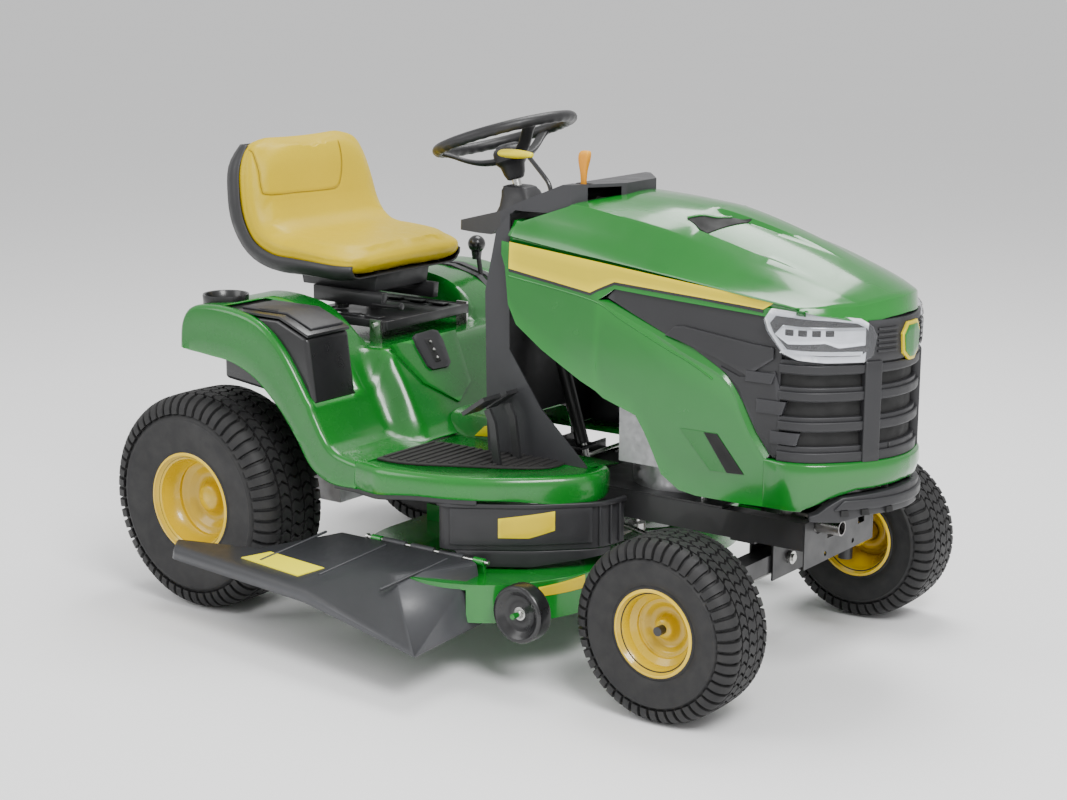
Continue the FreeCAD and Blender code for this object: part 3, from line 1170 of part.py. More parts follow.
for build in (main_frame, frame_hardware, front_bumper, fender_deck, foot_mats, storage_box, storage_lid,
              lift_quadrant, console, dash_panel, engine_block, engine_shroud, muffler, battery, fuel_tank,
              transaxle, belt_skirt, steering_column, wheels, front_axle, spindles, tie_rod, drag_link,
              sector_gear, steering_wheel, steering_shaft, hood_shell, grille, headlights, hood_inserts,
              hood_hinge, seat_pan, seat_shell, seat_cushion, deck_shell, deck_hardware, blades, mower_belt,
              deck_covers, chute, gauge_wheels, pedals, pto_lever, throttle_lever, lift_lever, ignition_key,
              crank_pulley):
    build()

doc.recompute()
faults = [item.Name for item in doc.Objects if {"Invalid", "Error"} & set(item.State)]
if faults:
    raise RuntimeError("objects failed to compute: " + ", ".join(faults))
os.makedirs("parts", exist_ok=True)
for label, item in sub_parts.items():
    shape = item.Shape
    if shape.isNull() or not shape.isValid() or not shape.Solids:
        raise RuntimeError(label + " has no valid solid")
    shape.exportStep(os.path.join("parts", label + ".step"))
print(len(sub_parts), "sub-parts written")
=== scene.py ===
"""The looks of the riding lawn mower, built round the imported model.

Lengths in the builders below are millimetres in the vehicle's own frame: the origin is on the ground
under the rear axle's middle, x runs forward, y to the driver's left and z up. at() turns such a point
into the row frame's metres.
"""

import json
import math

import bmesh
import bpy
from mathutils import Matrix, Vector, geometry
from mathutils.bvhtree import BVHTree
from mathutils.kdtree import KDTree


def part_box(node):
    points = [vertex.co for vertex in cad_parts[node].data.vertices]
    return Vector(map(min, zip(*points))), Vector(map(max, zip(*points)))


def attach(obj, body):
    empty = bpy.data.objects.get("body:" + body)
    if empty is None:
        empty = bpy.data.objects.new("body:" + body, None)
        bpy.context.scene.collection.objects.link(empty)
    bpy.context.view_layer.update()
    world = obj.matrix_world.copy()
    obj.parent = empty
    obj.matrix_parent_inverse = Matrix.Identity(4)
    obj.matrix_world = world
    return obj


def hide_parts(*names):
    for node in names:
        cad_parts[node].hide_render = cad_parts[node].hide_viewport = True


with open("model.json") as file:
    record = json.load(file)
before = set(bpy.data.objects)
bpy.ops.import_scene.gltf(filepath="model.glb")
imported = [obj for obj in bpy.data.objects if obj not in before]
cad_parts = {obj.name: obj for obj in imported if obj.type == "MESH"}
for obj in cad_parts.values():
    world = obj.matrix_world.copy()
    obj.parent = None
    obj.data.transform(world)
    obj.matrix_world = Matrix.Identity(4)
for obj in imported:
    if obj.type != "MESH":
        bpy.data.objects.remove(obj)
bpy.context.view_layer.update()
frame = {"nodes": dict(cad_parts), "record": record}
nodes = frame["nodes"]

MM = 0.001


def box_of(*names):
    """The corners of the box round these CAD nodes, in the row frame."""
    corners = [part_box(name) for name in names]
    low = Vector([min(pair[0][i] for pair in corners) for i in range(3)])
    high = Vector([max(pair[1][i] for pair in corners) for i in range(3)])
    return low, high


axle_low, axle_high = box_of("rear_tyre_right", "rear_tyre_left")
ORIGIN = (axle_low + axle_high) / 2
ORIGIN.z = 0


def at(x, y, z):
    """A vehicle point in millimetres, as a row frame point in metres."""
    return ORIGIN + Vector((x, y, z)) * MM


def back(point):
    """A row frame point in metres, as a vehicle point in millimetres."""
    return (Vector(point) - ORIGIN) / MM


# ---------------------------------------------------------------- materials


def shader(name, colour, roughness, metallic=0.0, coat=0.0, coat_roughness=0.1, sheen=0.0, specular=0.5):
    """A new material, with its node tree, its Principled shader and its object coordinates."""
    made = bpy.data.materials.new(name)
    made.use_nodes = True
    tree = made.node_tree
    surface = tree.nodes["Principled BSDF"]
    surface.inputs["Base Color"].default_value = (*colour, 1)
    surface.inputs["Roughness"].default_value = roughness
    surface.inputs["Metallic"].default_value = metallic
    surface.inputs["Coat Weight"].default_value = coat
    surface.inputs["Coat Roughness"].default_value = coat_roughness
    surface.inputs["Sheen Weight"].default_value = sheen
    surface.inputs["Specular IOR Level"].default_value = specular
    place = tree.nodes.new("ShaderNodeTexCoord").outputs["Object"]
    return made, tree, surface, place


def noise_of(tree, place, scale, detail=3.0, stretch=(1, 1, 1)):
    """A noise texture's factor, stretched along the axes."""
    mapping = tree.nodes.new("ShaderNodeMapping")
    mapping.inputs["Scale"].default_value = stretch
    tree.links.new(place, mapping.inputs["Vector"])
    texture = tree.nodes.new("ShaderNodeTexNoise")
    texture.inputs["Scale"].default_value = scale
    texture.inputs["Detail"].default_value = detail
    tree.links.new(mapping.outputs["Vector"], texture.inputs["Vector"])
    return texture.outputs["Fac"]


def cells_of(tree, place, scale):
    """A cell texture's distance, for moulded or leather grain."""
    texture = tree.nodes.new("ShaderNodeTexVoronoi")
    texture.inputs["Scale"].default_value = scale
    tree.links.new(place, texture.inputs["Vector"])
    return texture.outputs["Distance"]


def ranged(tree, factor, low, high):
    """The factor, spread from low to high."""
    node = tree.nodes.new("ShaderNodeMapRange")
    node.inputs["From Min"].default_value = 0.3
    node.inputs["From Max"].default_value = 0.7
    node.inputs["To Min"].default_value = low
    node.inputs["To Max"].default_value = high
    tree.links.new(factor, node.inputs["Value"])
    return node.outputs["Result"]


def mixed(tree, factor, first, second):
    """A colour between two colours, or between a colour and a socket."""
    node = tree.nodes.new("ShaderNodeMix")
    node.data_type = "RGBA"
    tree.links.new(factor, node.inputs["Factor"])
    for socket, value in ((node.inputs["A"], first), (node.inputs["B"], second)):
        if isinstance(value, tuple):
            socket.default_value = (*value, 1)
        else:
            tree.links.new(value, socket)
    return node.outputs["Result"]


def bumped(tree, surface, height, strength, distance):
    """The height as relief on the shader, over any relief that it already has."""
    node = tree.nodes.new("ShaderNodeBump")
    node.inputs["Strength"].default_value = strength
    node.inputs["Distance"].default_value = distance
    tree.links.new(height, node.inputs["Height"])
    if surface.inputs["Normal"].is_linked:
        tree.links.new(surface.inputs["Normal"].links[0].from_socket, node.inputs["Normal"])
    tree.links.new(node.outputs["Normal"], surface.inputs["Normal"])


def edges_of(tree):
    """1 on worn convex edges, 0 elsewhere."""
    geometry_node = tree.nodes.new("ShaderNodeNewGeometry")
    node = tree.nodes.new("ShaderNodeMapRange")
    node.inputs["From Min"].default_value = 0.52
    node.inputs["From Max"].default_value = 0.6
    tree.links.new(geometry_node.outputs["Pointiness"], node.inputs["Value"])
    return node.outputs["Result"]


def scaled(colour, factor):
    return tuple(min(1.0, channel * factor) for channel in colour)


def painted(name, colour, roughness=0.28, coat=0.6, flake=0.0):
    """Sprayed enamel: faint mottling, orange peel and lighter, worn edges."""
    made, tree, surface, place = shader(name, colour, roughness, flake, coat, 0.08)
    mottling = noise_of(tree, place, 6, 4)
    base = mixed(tree, mottling, scaled(colour, 0.88), scaled(colour, 1.1))
    base = mixed(tree, edges_of(tree), base, scaled(colour, 1.35))
    tree.links.new(base, surface.inputs["Base Color"])
    gloss = ranged(tree, noise_of(tree, place, 22, 5), roughness * 0.8, roughness * 1.25)
    tree.links.new(gloss, surface.inputs["Roughness"])
    bumped(tree, surface, noise_of(tree, place, 420, 2), 0.06, 0.0006)
    return made


def moulded(name, colour, roughness=0.5, grain=900, relief=0.25, coat=0.0):
    """Moulded plastic: spark-eroded grain, soft colour drift and polished edges."""
    made, tree, surface, place = shader(name, colour, roughness, coat=coat)
    drift = noise_of(tree, place, 9, 3)
    base = mixed(tree, drift, scaled(colour, 0.82), scaled(colour, 1.2))
    base = mixed(tree, edges_of(tree), base, scaled(colour, 1.8))
    tree.links.new(base, surface.inputs["Base Color"])
    gloss = ranged(tree, noise_of(tree, place, 30, 4), roughness * 0.85, roughness * 1.15)
    tree.links.new(gloss, surface.inputs["Roughness"])
    bumped(tree, surface, cells_of(tree, place, grain), relief, 0.0003)
    return made


def rubbery(name, colour, roughness=0.62, dust=(0.045, 0.043, 0.04)):
    """Rubber: matt, finely pitted, with a little dust in its hollows."""
    made, tree, surface, place = shader(name, colour, roughness, specular=0.4)
    patches = noise_of(tree, place, 14, 6)
    base = mixed(tree, patches, scaled(colour, 0.75), scaled(colour, 1.35))
    dusty = ranged(tree, noise_of(tree, place, 45, 8), 0.0, 0.28)
    base = mixed(tree, dusty, base, dust)
    tree.links.new(base, surface.inputs["Base Color"])
    gloss = ranged(tree, patches, roughness * 0.8, roughness * 1.15)
    tree.links.new(gloss, surface.inputs["Roughness"])
    bumped(tree, surface, noise_of(tree, place, 700, 4), 0.25, 0.0005)
    return made


def metallic(name, colour, roughness=0.3, brushing=(1, 1, 1), grain=220):
    """Bare or plated metal: brushed or cast relief, stained in patches."""
    made, tree, surface, place = shader(name, colour, roughness, 1.0)
    stains = noise_of(tree, place, 18, 6)
    base = mixed(tree, stains, scaled(colour, 0.7), scaled(colour, 1.15))
    tree.links.new(base, surface.inputs["Base Color"])
    gloss = ranged(tree, noise_of(tree, place, 60, 4), roughness * 0.7, roughness * 1.4)
    tree.links.new(gloss, surface.inputs["Roughness"])
    bumped(tree, surface, noise_of(tree, place, grain, 3, brushing), 0.15, 0.0006)
    return made


def leathery(name, colour):
    """Vinyl: creased grain over a soft drift of tone, with a slight sheen."""
    made, tree, surface, place = shader(name, colour, 0.42, coat_roughness=0.35, specular=0.3)
    drift = noise_of(tree, place, 7, 4)
    base = mixed(tree, drift, scaled(colour, 0.9), scaled(colour, 1.06))
    grain = cells_of(tree, place, 620)
    base = mixed(tree, ranged(tree, grain, 0.25, 0.0), base, scaled(colour, 0.72))
    tree.links.new(base, surface.inputs["Base Color"])
    gloss = ranged(tree, noise_of(tree, place, 40, 4), 0.34, 0.5)
    tree.links.new(gloss, surface.inputs["Roughness"])
    bumped(tree, surface, grain, 0.35, 0.0005)
    bumped(tree, surface, noise_of(tree, place, 35, 3), 0.12, 0.002)
    return made


def glassy(name, colour, roughness=0.03):
    """Clear lens plastic with faint flow marks."""
    made, tree, surface, place = shader(name, colour, roughness, coat=0.5, coat_roughness=0.02)
    surface.inputs["Transmission Weight"].default_value = 1.0
    surface.inputs["IOR"].default_value = 1.3
    gloss = ranged(tree, noise_of(tree, place, 15, 3), roughness, roughness * 2)
    tree.links.new(gloss, surface.inputs["Roughness"])
    bumped(tree, surface, noise_of(tree, place, 30, 2), 0.04, 0.001)
    return made


GREEN = painted("green_enamel", (0.003, 0.145, 0.012), 0.22, 0.6)
GREEN_FENDER = moulded("green_plastic", (0.003, 0.135, 0.011), 0.26, 700, 0.08, 0.4)
GLOSS_BLACK = painted("gloss_black_enamel", (0.012, 0.012, 0.013), 0.25, 0.4)
FRAME_BLACK = painted("frame_powder_coat", (0.016, 0.016, 0.017), 0.42, 0.15)
TRIM = moulded("black_trim_plastic", (0.018, 0.018, 0.02), 0.46, 850, 0.3)
# Near-black: painted shade for openings and recesses drawn as flat sheets (grille, air slots, vent holes,
# bumper pockets, slot, finger scoop), and the own colour of the headlight emitters.
SHADE_AND_EMITTER_BLACK = moulded("painted_shade_and_emitter_black", (0.006, 0.006, 0.006), 0.7, 850, 0.2)
DASH = moulded("dash_plastic", (0.024, 0.024, 0.027), 0.5, 800, 0.4)
BIN_BLACK = moulded("bin_plastic", (0.012, 0.012, 0.013), 0.3, 900, 0.12, 0.2)
GRIP = moulded("grip_plastic", (0.014, 0.014, 0.015), 0.42, 1200, 0.35)
SHELL = moulded("seat_shell_plastic", (0.014, 0.014, 0.015), 0.5, 700, 0.4)
CHUTE = moulded("chute_plastic", (0.03, 0.031, 0.034), 0.4, 800, 0.35)
RUBBER = rubbery("tyre_rubber", (0.012, 0.012, 0.013))
MAT = rubbery("mat_rubber", (0.02, 0.019, 0.019), 0.7)
YELLOW = painted("yellow_enamel", (0.6, 0.4, 0.0), 0.3, 0.5)
STRIPE = painted("yellow_film", (0.6, 0.47, 0.0), 0.35, 0.4)
LABEL = moulded("label_film", (0.68, 0.5, 0.0), 0.4, 500, 0.05)
VINYL = leathery("yellow_vinyl", (0.6, 0.43, 0.0))
SEAM = leathery("seam_vinyl", (0.3, 0.19, 0.0))
YELLOW_GRIP = moulded("yellow_grip", (0.68, 0.56, 0.0), 0.45, 900, 0.25)
ORANGE = moulded("orange_grip", (0.7, 0.27, 0.0), 0.42, 900, 0.25)
ZINC = metallic("zinc_plate", (0.62, 0.62, 0.6), 0.28)
CAST = metallic("cast_alloy", (0.42, 0.42, 0.43), 0.45, grain=300)
EXHAUST = metallic("exhaust_steel", (0.34, 0.33, 0.32), 0.35, (1, 6, 1))
BLADE = metallic("blade_steel", (0.25, 0.25, 0.26), 0.4, (8, 1, 1))
ENGINE = moulded("engine_plastic", (0.02, 0.02, 0.021), 0.45, 900, 0.3)
REFLECTOR = metallic("headlight_reflector", (0.82, 0.84, 0.86), 0.12)
LENS = glassy("clear_lens", (0.96, 0.97, 1.0))
BRIGHT = moulded("headlight_frame", (0.75, 0.77, 0.8), 0.22, 500, 0.05, 0.5)

NODE_MATERIALS = {
    "green_paint": GREEN,
    "black_plastic": TRIM,
    "clear_lens": LENS,
    "black_paint": FRAME_BLACK,
    "zinc_steel": ZINC,
    "yellow_paint": YELLOW,
    "tyre_rubber": RUBBER,
    "mat_rubber": MAT,
    "yellow_vinyl": VINYL,
    "grip_plastic": GRIP,
    "orange_plastic": ORANGE,
    "cast_alloy": CAST,
    "engine_plastic": ENGINE,
    "exhaust_steel": EXHAUST,
    "blade_steel": BLADE,
}


def dress_nodes():
    """Every CAD node gets its slot's material and smooth shading between its edges."""
    for entry in frame["record"]["subparts"]:
        node = nodes[entry["node"]]
        node.data.materials.clear()
        node.data.materials.append(NODE_MATERIALS[entry["material_slot"]])
    for node in nodes.values():
        node.data.polygons.foreach_set("use_smooth", [True] * len(node.data.polygons))
        node.data.set_sharp_from_angle(angle=math.radians(32))


# ---------------------------------------------------------------- mesh tools


class Shape:
    """Points in vehicle millimetres and the faces between them."""

    def __init__(self):
        self.points = []
        self.faces = []

    def add(self, points, faces):
        start = len(self.points)
        self.points += [tuple(point) for point in points]
        self.faces += [tuple(start + index for index in face) for face in faces]
        return self

    def rows(self, rows, around=False, along=False, caps=False):
        """Quads between rows of points; around closes each row, along joins the last row to the first."""
        count = len(rows[0])
        points = [point for row in rows for point in row]
        faces = []
        for i in range(len(rows) if along else len(rows) - 1):
            here = i * count
            there = (i + 1) % len(rows) * count
            for j in range(count if around else count - 1):
                k = (j + 1) % count
                faces.append((here + j, here + k, there + k, there + j))
        if caps:
            faces.append(tuple(range(count))[::-1])
            last = (len(rows) - 1) * count
            faces.append(tuple(last + j for j in range(count)))
        return self.add(points, faces)

    def lathe(self, profile, centre, axis="y", steps=96, closed=True, out=1):
        """Turns (radius, along) points round an axis through centre."""
        rows = []
        for radius, along in profile:
            row = []
            for i in range(steps):
                turn = 2 * math.pi * i / steps
                u = radius * math.cos(turn)
                v = radius * math.sin(turn)
                offset = {"x": (out * along, u, v), "y": (u, out * along, v), "z": (u, v, out * along)}[axis]
                row.append([centre[k] + offset[k] for k in range(3)])
            rows.append(row)
        return self.rows(rows, around=True, along=closed)

    def prism(self, outline, axis, start, end):
        """A flat outline drawn across an axis, thick from start to end."""
        place = {
            "x": lambda u, v, w: (w, u, v),
            "y": lambda u, v, w: (u, w, v),
            "z": lambda u, v, w: (u, v, w),
        }[axis]
        count = len(outline)
        points = [place(u, v, w) for w in (start, end) for u, v in outline]
        faces = [(j, (j + 1) % count, count + (j + 1) % count, count + j) for j in range(count)]
        for chunk in geometry.tessellate_polygon([[Vector((u, v, 0)) for u, v in outline]]):
            faces.append(tuple(chunk))
            faces.append(tuple(count + i for i in chunk))
        return self.add(points, faces)

    def block(self, top, depth):
        """A block straight down from four points in turn."""
        low = [(x, y, z - depth) for x, y, z in top]
        faces = [(0, 1, 2, 3), (7, 6, 5, 4), (0, 4, 5, 1), (1, 5, 6, 2), (2, 6, 7, 3), (3, 7, 4, 0)]
        return self.add(top + low, faces)

    def tube(self, path, radius, sides=12, closed=False, squash=1.0):
        """A round bar along a path; radius may be a number or one for each point."""
        path = [Vector(point) for point in path]
        count = len(path)
        rows = []
        side = None
        for i, point in enumerate(path):
            ahead = path[(i + 1) % count] if closed or i < count - 1 else point
            behind = path[i - 1] if closed or i > 0 else point
            along = (ahead - behind).normalized()
            if side is None:
                side = along.cross((0, 0, 1) if abs(along.z) < 0.9 else (1, 0, 0)).normalized()
            side = (side - along * side.dot(along)).normalized()
            up = along.cross(side)
            size = radius[i] if isinstance(radius, (list, tuple)) else radius
            turns = [2 * math.pi * j / sides for j in range(sides)]
            rows.append([point + (side * math.cos(t) + up * math.sin(t) * squash) * size for t in turns])
        return self.rows(rows, around=True, along=closed, caps=not closed)

    def slab(self, surface, outline, outer, inner, step=14, levels=5):
        """A panel on a surface(u, v, out), cut to an outline that has one stretch of v at each u."""
        us = sorted({u for u, _ in outline})
        stops = []
        for first, second in zip(us, us[1:]):
            pieces = max(1, round((second - first) / step))
            stops += [first + (second - first) * k / pieces for k in range(pieces)]
        stops.append(us[-1])
        top = []
        bottom = []
        for u in stops:
            inside = min(max(u, us[0] + 0.01), us[-1] - 0.01)
            crossings = []
            for (u0, v0), (u1, v1) in zip(outline, outline[1:] + outline[:1]):
                if u0 != u1 and min(u0, u1) <= inside <= max(u0, u1):
                    crossings.append(v0 + (v1 - v0) * (inside - u0) / (u1 - u0))
            low = min(crossings)
            high = max(crossings)
            vs = [low + (high - low) * k / levels for k in range(levels + 1)]
            top.append([surface(u, v, outer) for v in vs])
            bottom.append([surface(u, v, inner) for v in vs])
        rings = [upper + lower[::-1] for upper, lower in zip(top, bottom)]
        return self.rows(rings, around=True, caps=True)


def smooth_path(points, per=6, closed=False):
    """A curve through the points, with per steps between each two."""
    points = [Vector(point) for point in points]
    count = len(points)
    curve = []
    for i in range(count if closed else count - 1):
        before = points[i - 1] if closed or i > 0 else points[0]
        first = points[i]
        second = points[(i + 1) % count]
        after = points[(i + 2) % count] if closed or i < count - 2 else points[-1]
        for k in range(per):
            t = k / per
            curve.append(
                0.5
                * (
                    2 * first
                    + (second - before) * t
                    + (2 * before - 5 * first + 4 * second - after) * t**2
                    + (3 * first - before - 3 * second + after) * t**3
                )
            )
    if not closed:
        curve.append(points[-1])
    return curve


def piece(name, shape, material, body, stands_for=(), angle=35, bevel=0.0, segments=2, subdivide=0):
    """A finished object from a shape, riding on a body."""
    mesh = bpy.data.meshes.new(name)
    mesh.from_pydata([at(*point) for point in shape.points], [], shape.faces)
    cleaned = bmesh.new()
    cleaned.from_mesh(mesh)
    bmesh.ops.remove_doubles(cleaned, verts=cleaned.verts, dist=0.00002)
    bmesh.ops.recalc_face_normals(cleaned, faces=cleaned.faces)
    cleaned.to_mesh(mesh)
    cleaned.free()
    mesh.materials.append(material)
    thing = bpy.data.objects.new(name, mesh)
    bpy.context.scene.collection.objects.link(thing)
    if bevel:
        rounding = thing.modifiers.new("rounding", "BEVEL")
        rounding.width = bevel * MM
        rounding.segments = segments
        rounding.limit_method = "ANGLE"
        rounding.angle_limit = math.radians(angle)
    if subdivide:
        refining = thing.modifiers.new("refining", "SUBSURF")
        refining.levels = refining.render_levels = subdivide
    mesh.polygons.foreach_set("use_smooth", [True] * len(mesh.polygons))
    mesh.set_sharp_from_angle(angle=math.radians(angle if not bevel else 180))
    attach(thing, body)
    if stands_for:
        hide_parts(*stands_for)
    return thing


def thickened(thing, wall, offset=-1):
    """Gives a skin a wall thickness in millimetres, inwards unless the offset is 1."""
    modifier = thing.modifiers.new("thickness", "SOLIDIFY")
    modifier.thickness = wall * MM
    modifier.offset = offset


def oval(half_u, half_v, power, count):
    """Points round an oval: a power of 1 makes an ellipse, and less makes it squarer."""
    points = []
    for k in range(count):
        turn = 2 * math.pi * k / count
        u = math.copysign(abs(math.cos(turn)) ** power, math.cos(turn))
        v = math.copysign(abs(math.sin(turn)) ** power, math.sin(turn))
        points.append((half_u * u, half_v * v))
    return points


def between(x, table, column=1):
    """A value read from a table of rows that rise in their first column, smoothly joined."""
    if x <= table[0][0]:
        return table[0][column]
    for i, (first, second) in enumerate(zip(table, table[1:])):
        if x <= second[0]:
            before = table[max(i - 1, 0)]
            after = table[min(i + 2, len(table) - 1)]
            width = second[0] - first[0]
            t = (x - first[0]) / width
            slope_first = (second[column] - before[column]) / (second[0] - before[0]) * width
            slope_second = (after[column] - first[column]) / (after[0] - first[0]) * width
            rise = second[column] - first[column]
            return (
                first[column]
                + slope_first * t
                + (3 * rise - 2 * slope_first - slope_second) * t**2
                + (slope_first + slope_second - 2 * rise) * t**3
            )
    return table[-1][column]


# ---------------------------------------------------------------- wheels


class Tread:
    """The crown of a tyre: from its middle out over each shoulder."""

    def __init__(self, centre, radius, half_width, shoulder, pitches):
        self.centre = centre
        self.radius = radius
        self.half_width = half_width
        self.shoulder = shoulder
        self.pitches = pitches
        self.flat = half_width - shoulder
        self.reach = self.flat + shoulder * math.pi / 2

    def section(self, along, depth=0.0):
        """(radius, sideways) at a distance along the tread from its middle."""
        side = abs(along)
        if side <= self.flat:
            return self.radius - 1.5 * (side / self.flat) ** 2 - depth, along
        turn = (side - self.flat) / self.shoulder
        arm = self.shoulder - depth
        radius = self.radius - 1.5 - self.shoulder + arm * math.cos(turn)
        return radius, math.copysign(self.flat + arm * math.sin(turn), along)

    def point(self, along, pitch, depth):
        radius, sideways = self.section(along, depth)
        turn = 2 * math.pi * pitch / self.pitches
        x, y, z = self.centre
        return x + radius * math.cos(turn), y + sideways, z + radius * math.sin(turn)

    def block(self, shape, stations, pitch, length, depth):
        """A tread block: stations are (along, shift) across it, and length is in pitches."""
        draft = 0.035
        rings = []
        for along, shift in stations:
            start = pitch + shift
            rings.append(
                [
                    self.point(along, start - draft, depth),
                    self.point(along, start + draft, 0),
                    self.point(along, start + length - draft, 0),
                    self.point(along, start + length + draft, depth),
                ]
            )
        shape.rows(rings, around=True, caps=True)


def tyre(node, body, flange, bead, shoulder, pitches, depth):
    """A turf tyre with zigzag blocks, shoulder bars and ringed sidewalls."""
    low, high = (back(corner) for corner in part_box(node))
    centre = (low + high) / 2
    radius = (high.z - low.z) / 2
    half_width = (high.y - low.y) / 2
    tread = Tread(centre, radius, half_width, shoulder, pitches)
    wall_top = radius - 1.5 - shoulder
    wall = wall_top - flange
    side = [
        (wall_top - 2, half_width - depth + 2),
        (wall_top - 0.1 * wall, half_width - 0.5),
        (wall_top - 0.15 * wall, half_width + 0.4),
        (wall_top - 0.2 * wall, half_width - 0.8),
        (wall_top - 0.5 * wall, half_width - 1.5),
        (wall_top - 0.75 * wall, half_width - 4.5),
        (flange + 6, bead + 1.5),
        (flange + 3, bead + 3),
        (flange, bead + 2.5),
        (flange - 1, bead - 3),
        (flange - 12, bead - 6),
    ]
    inside = [
        (flange + 6, bead - 10),
        (wall_top, half_width - 14),
        (radius - 20, half_width - 30),
    ]
    crown = []
    for k in range(-14, 15):
        along = tread.reach * k / 14
        crown.append(tread.section(along, depth))
    profile = [(r, -a) for r, a in reversed(side)] + crown + side
    profile += inside + [(r, -a) for r, a in reversed(inside)]
    shape = Shape().lathe(profile, centre, steps=pitches * 3)
    half = tread.flat
    reach = tread.reach
    centre_row = [(-0.3 * half, 0.0), (-0.12 * half, 0.3), (0.12 * half, -0.05), (0.3 * half, 0.25)]
    middle_row = [(0.37 * half, 0.55), (0.6 * half, 0.9), (0.82 * half, 0.62)]
    first = 0.9 * half
    bars = [(first, 0.28), (first + 0.16 * half, 0.02)]
    bars += [(half + (reach - half) * k / 5, 0.0) for k in range(1, 6)]
    for pitch in range(pitches):
        tread.block(shape, centre_row, pitch, 0.8, depth)
        for sign in (-1, 1):
            offset = 0.5 if sign > 0 else 0.0
            tread.block(shape, [(sign * s, shift) for s, shift in middle_row], pitch + offset, 0.8, depth)
            tread.block(shape, [(sign * s, shift) for s, shift in bars], pitch + offset, 0.74, depth)
    piece(node + "_tread", shape, RUBBER, body, (node,), angle=25)
    return centre


def rim(node, body, centre, side, flange, edge, seat, dish, hub, valve_turn):
    """A pressed steel rim: rolled flanges, stepped barrel and dished disc, with a valve stem."""
    wall = 2.6
    barrel = [
        (flange - 3.5, edge + 1.5),
        (flange, edge - 0.5),
        (flange - 3, edge - 5),
        (seat + 1, edge - 12),
        (seat - 2, edge * 0.55),
        (seat - 14, edge * 0.42),
        (seat - 16, -edge * 0.1),
        (seat - 2, -edge * 0.45),
        (seat + 1, -edge + 12),
        (flange - 3, -edge + 5),
        (flange, -edge + 0.5),
        (flange - 3.5, -edge - 1.5),
    ]
    skin = barrel + [(r - wall, a) for r, a in reversed(barrel)]
    shape = Shape().lathe(skin, centre, out=side)
    disc_radius = seat - 15
    front = [
        (disc_radius, edge * 0.36),
        (disc_radius * 0.93, edge * 0.3),
        (disc_radius * 0.84, dish + 14),
        (disc_radius * 0.78, dish + 12),
        (disc_radius * 0.7, dish + 3),
        (disc_radius * 0.6, dish),
        (hub * 1.5, dish),
        (hub * 1.25, dish + 3),
        (hub * 1.12, dish + 10),
        (hub * 1.0, dish + 21),
        (hub * 0.85, dish + 24),
        (hub * 0.3, dish + 26),
        (0.5, dish + 26.5),
    ]
    disc = front + [(r, a - 3) for r, a in reversed(front)]
    shape.lathe(disc, centre, out=side)
    piece(node + "_pressing", shape, YELLOW, body, (node,), angle=40)
    turn = math.radians(valve_turn)
    foot = Vector((math.cos(turn), 0, math.sin(turn))) * (seat - 9)
    outward = Vector((0, side, 0))
    root = centre + foot + outward * (edge * 0.36)
    stem = Shape().tube(
        [root, root + outward * 10, root + outward * 11, root + outward * 20], [5, 4.6, 3.4, 3.4],
    )
    piece(node + "_valve", stem, RUBBER, body, angle=50)


def wheel_hub(name, body, centre, side, radius, inner, outer, bore):
    """The inner boss of a wheel, open for its axle."""
    profile = [(bore, inner), (radius, inner), (radius, outer), (bore, outer)]
    shape = Shape().lathe(profile, centre, out=side, steps=48)
    piece(name, shape, YELLOW, body, angle=40, bevel=1.5)


def wheels():
    for end, side in (("right", -1), ("left", 1)):
        centre = tyre(f"rear_tyre_{end}", f"rear_wheel_{end}", 117.5, 91, 40, 56, 8)
        rim(f"rear_rim_{end}", f"rear_wheel_{end}", centre, side, 118, 94, 103, 12, 30, 4)
        wheel_hub(f"rear_hub_{end}", f"rear_wheel_{end}", centre, side, 32, -120, 12, 12)
        centre = tyre(f"front_tyre_{end}", f"front_wheel_{end}", 90, 64.5, 32, 48, 7)
        rim(f"front_rim_{end}", f"front_wheel_{end}", centre, side, 90, 67.5, 78, 6, 20, 42)
        wheel_hub(f"front_hub_{end}", f"front_wheel_{end}", centre, side, 22, -62, 5, 9.6)


# ---------------------------------------------------------------- hood


# x, centre height, crease half-width and height, shoulder half-width and height
HOOD_STATIONS = [
    (682, 985, 158, 968, 208, 890),
    (815, 985, 155, 961, 206, 872),
    (942, 981, 152, 942, 205, 858),
    (1031, 975, 150, 926, 205, 848),
    (1131, 963, 146, 901, 205, 836),
    (1300, 914, 141, 866, 207, 816),
    (1400, 876, 137, 843, 208, 809),
    (1470, 846, 131, 827, 208, 806),
    (1512, 824, 122, 813, 207, 806),
]
HOOD_NOTCH = [(640, 190), (700, 190), (807, 158), (884, 62), (892, 0)]
BROW_LOW = [(0, 786), (60, 783), (89, 778), (115, 776), (150, 784), (172, 790), (207, 797)]
CHANNEL_DEPTH = 9
NOSE_BOW = 0.003


def linear(value, table):
    """A value read from (key, value) pairs, straight between them."""
    if value <= table[0][0]:
        return table[0][1]
    for (x0, y0), (x1, y1) in zip(table, table[1:]):
        if value <= x1:
            return y0 + (y1 - y0) * (value - x0) / (x1 - x0)
    return table[-1][1]


def eased(t):
    t = min(max(t, 0.0), 1.0)
    return t * t * (3 - 2 * t)


def channel_sides(x):
    """The half-widths between which the hood dips ahead of its air slots."""
    return linear(x, [(1110, 44), (1480, 18)]), linear(x, [(1110, 118), (1400, 124)])


def hood_height(x, y):
    """The hood's top at a station x and sideways distance y."""
    y = abs(y)
    top, crease, crease_z, shoulder, shoulder_z = (between(x, HOOD_STATIONS, k) for k in range(1, 6))
    if y > crease:
        t = (y - crease) / (shoulder - crease)
        return crease_z + (shoulder_z - crease_z) * t + 3 * math.sin(math.pi * min(t, 1.0))
    inner, outer = channel_sides(x)
    across = eased((y - inner + 4) / 8) * eased((outer + 4 - y) / 8)
    ahead = eased((x - 1085) / 30) * eased((1440 - x) / 330)
    return top - (top - crease_z) * (y / crease) ** 2 - CHANNEL_DEPTH * across * ahead


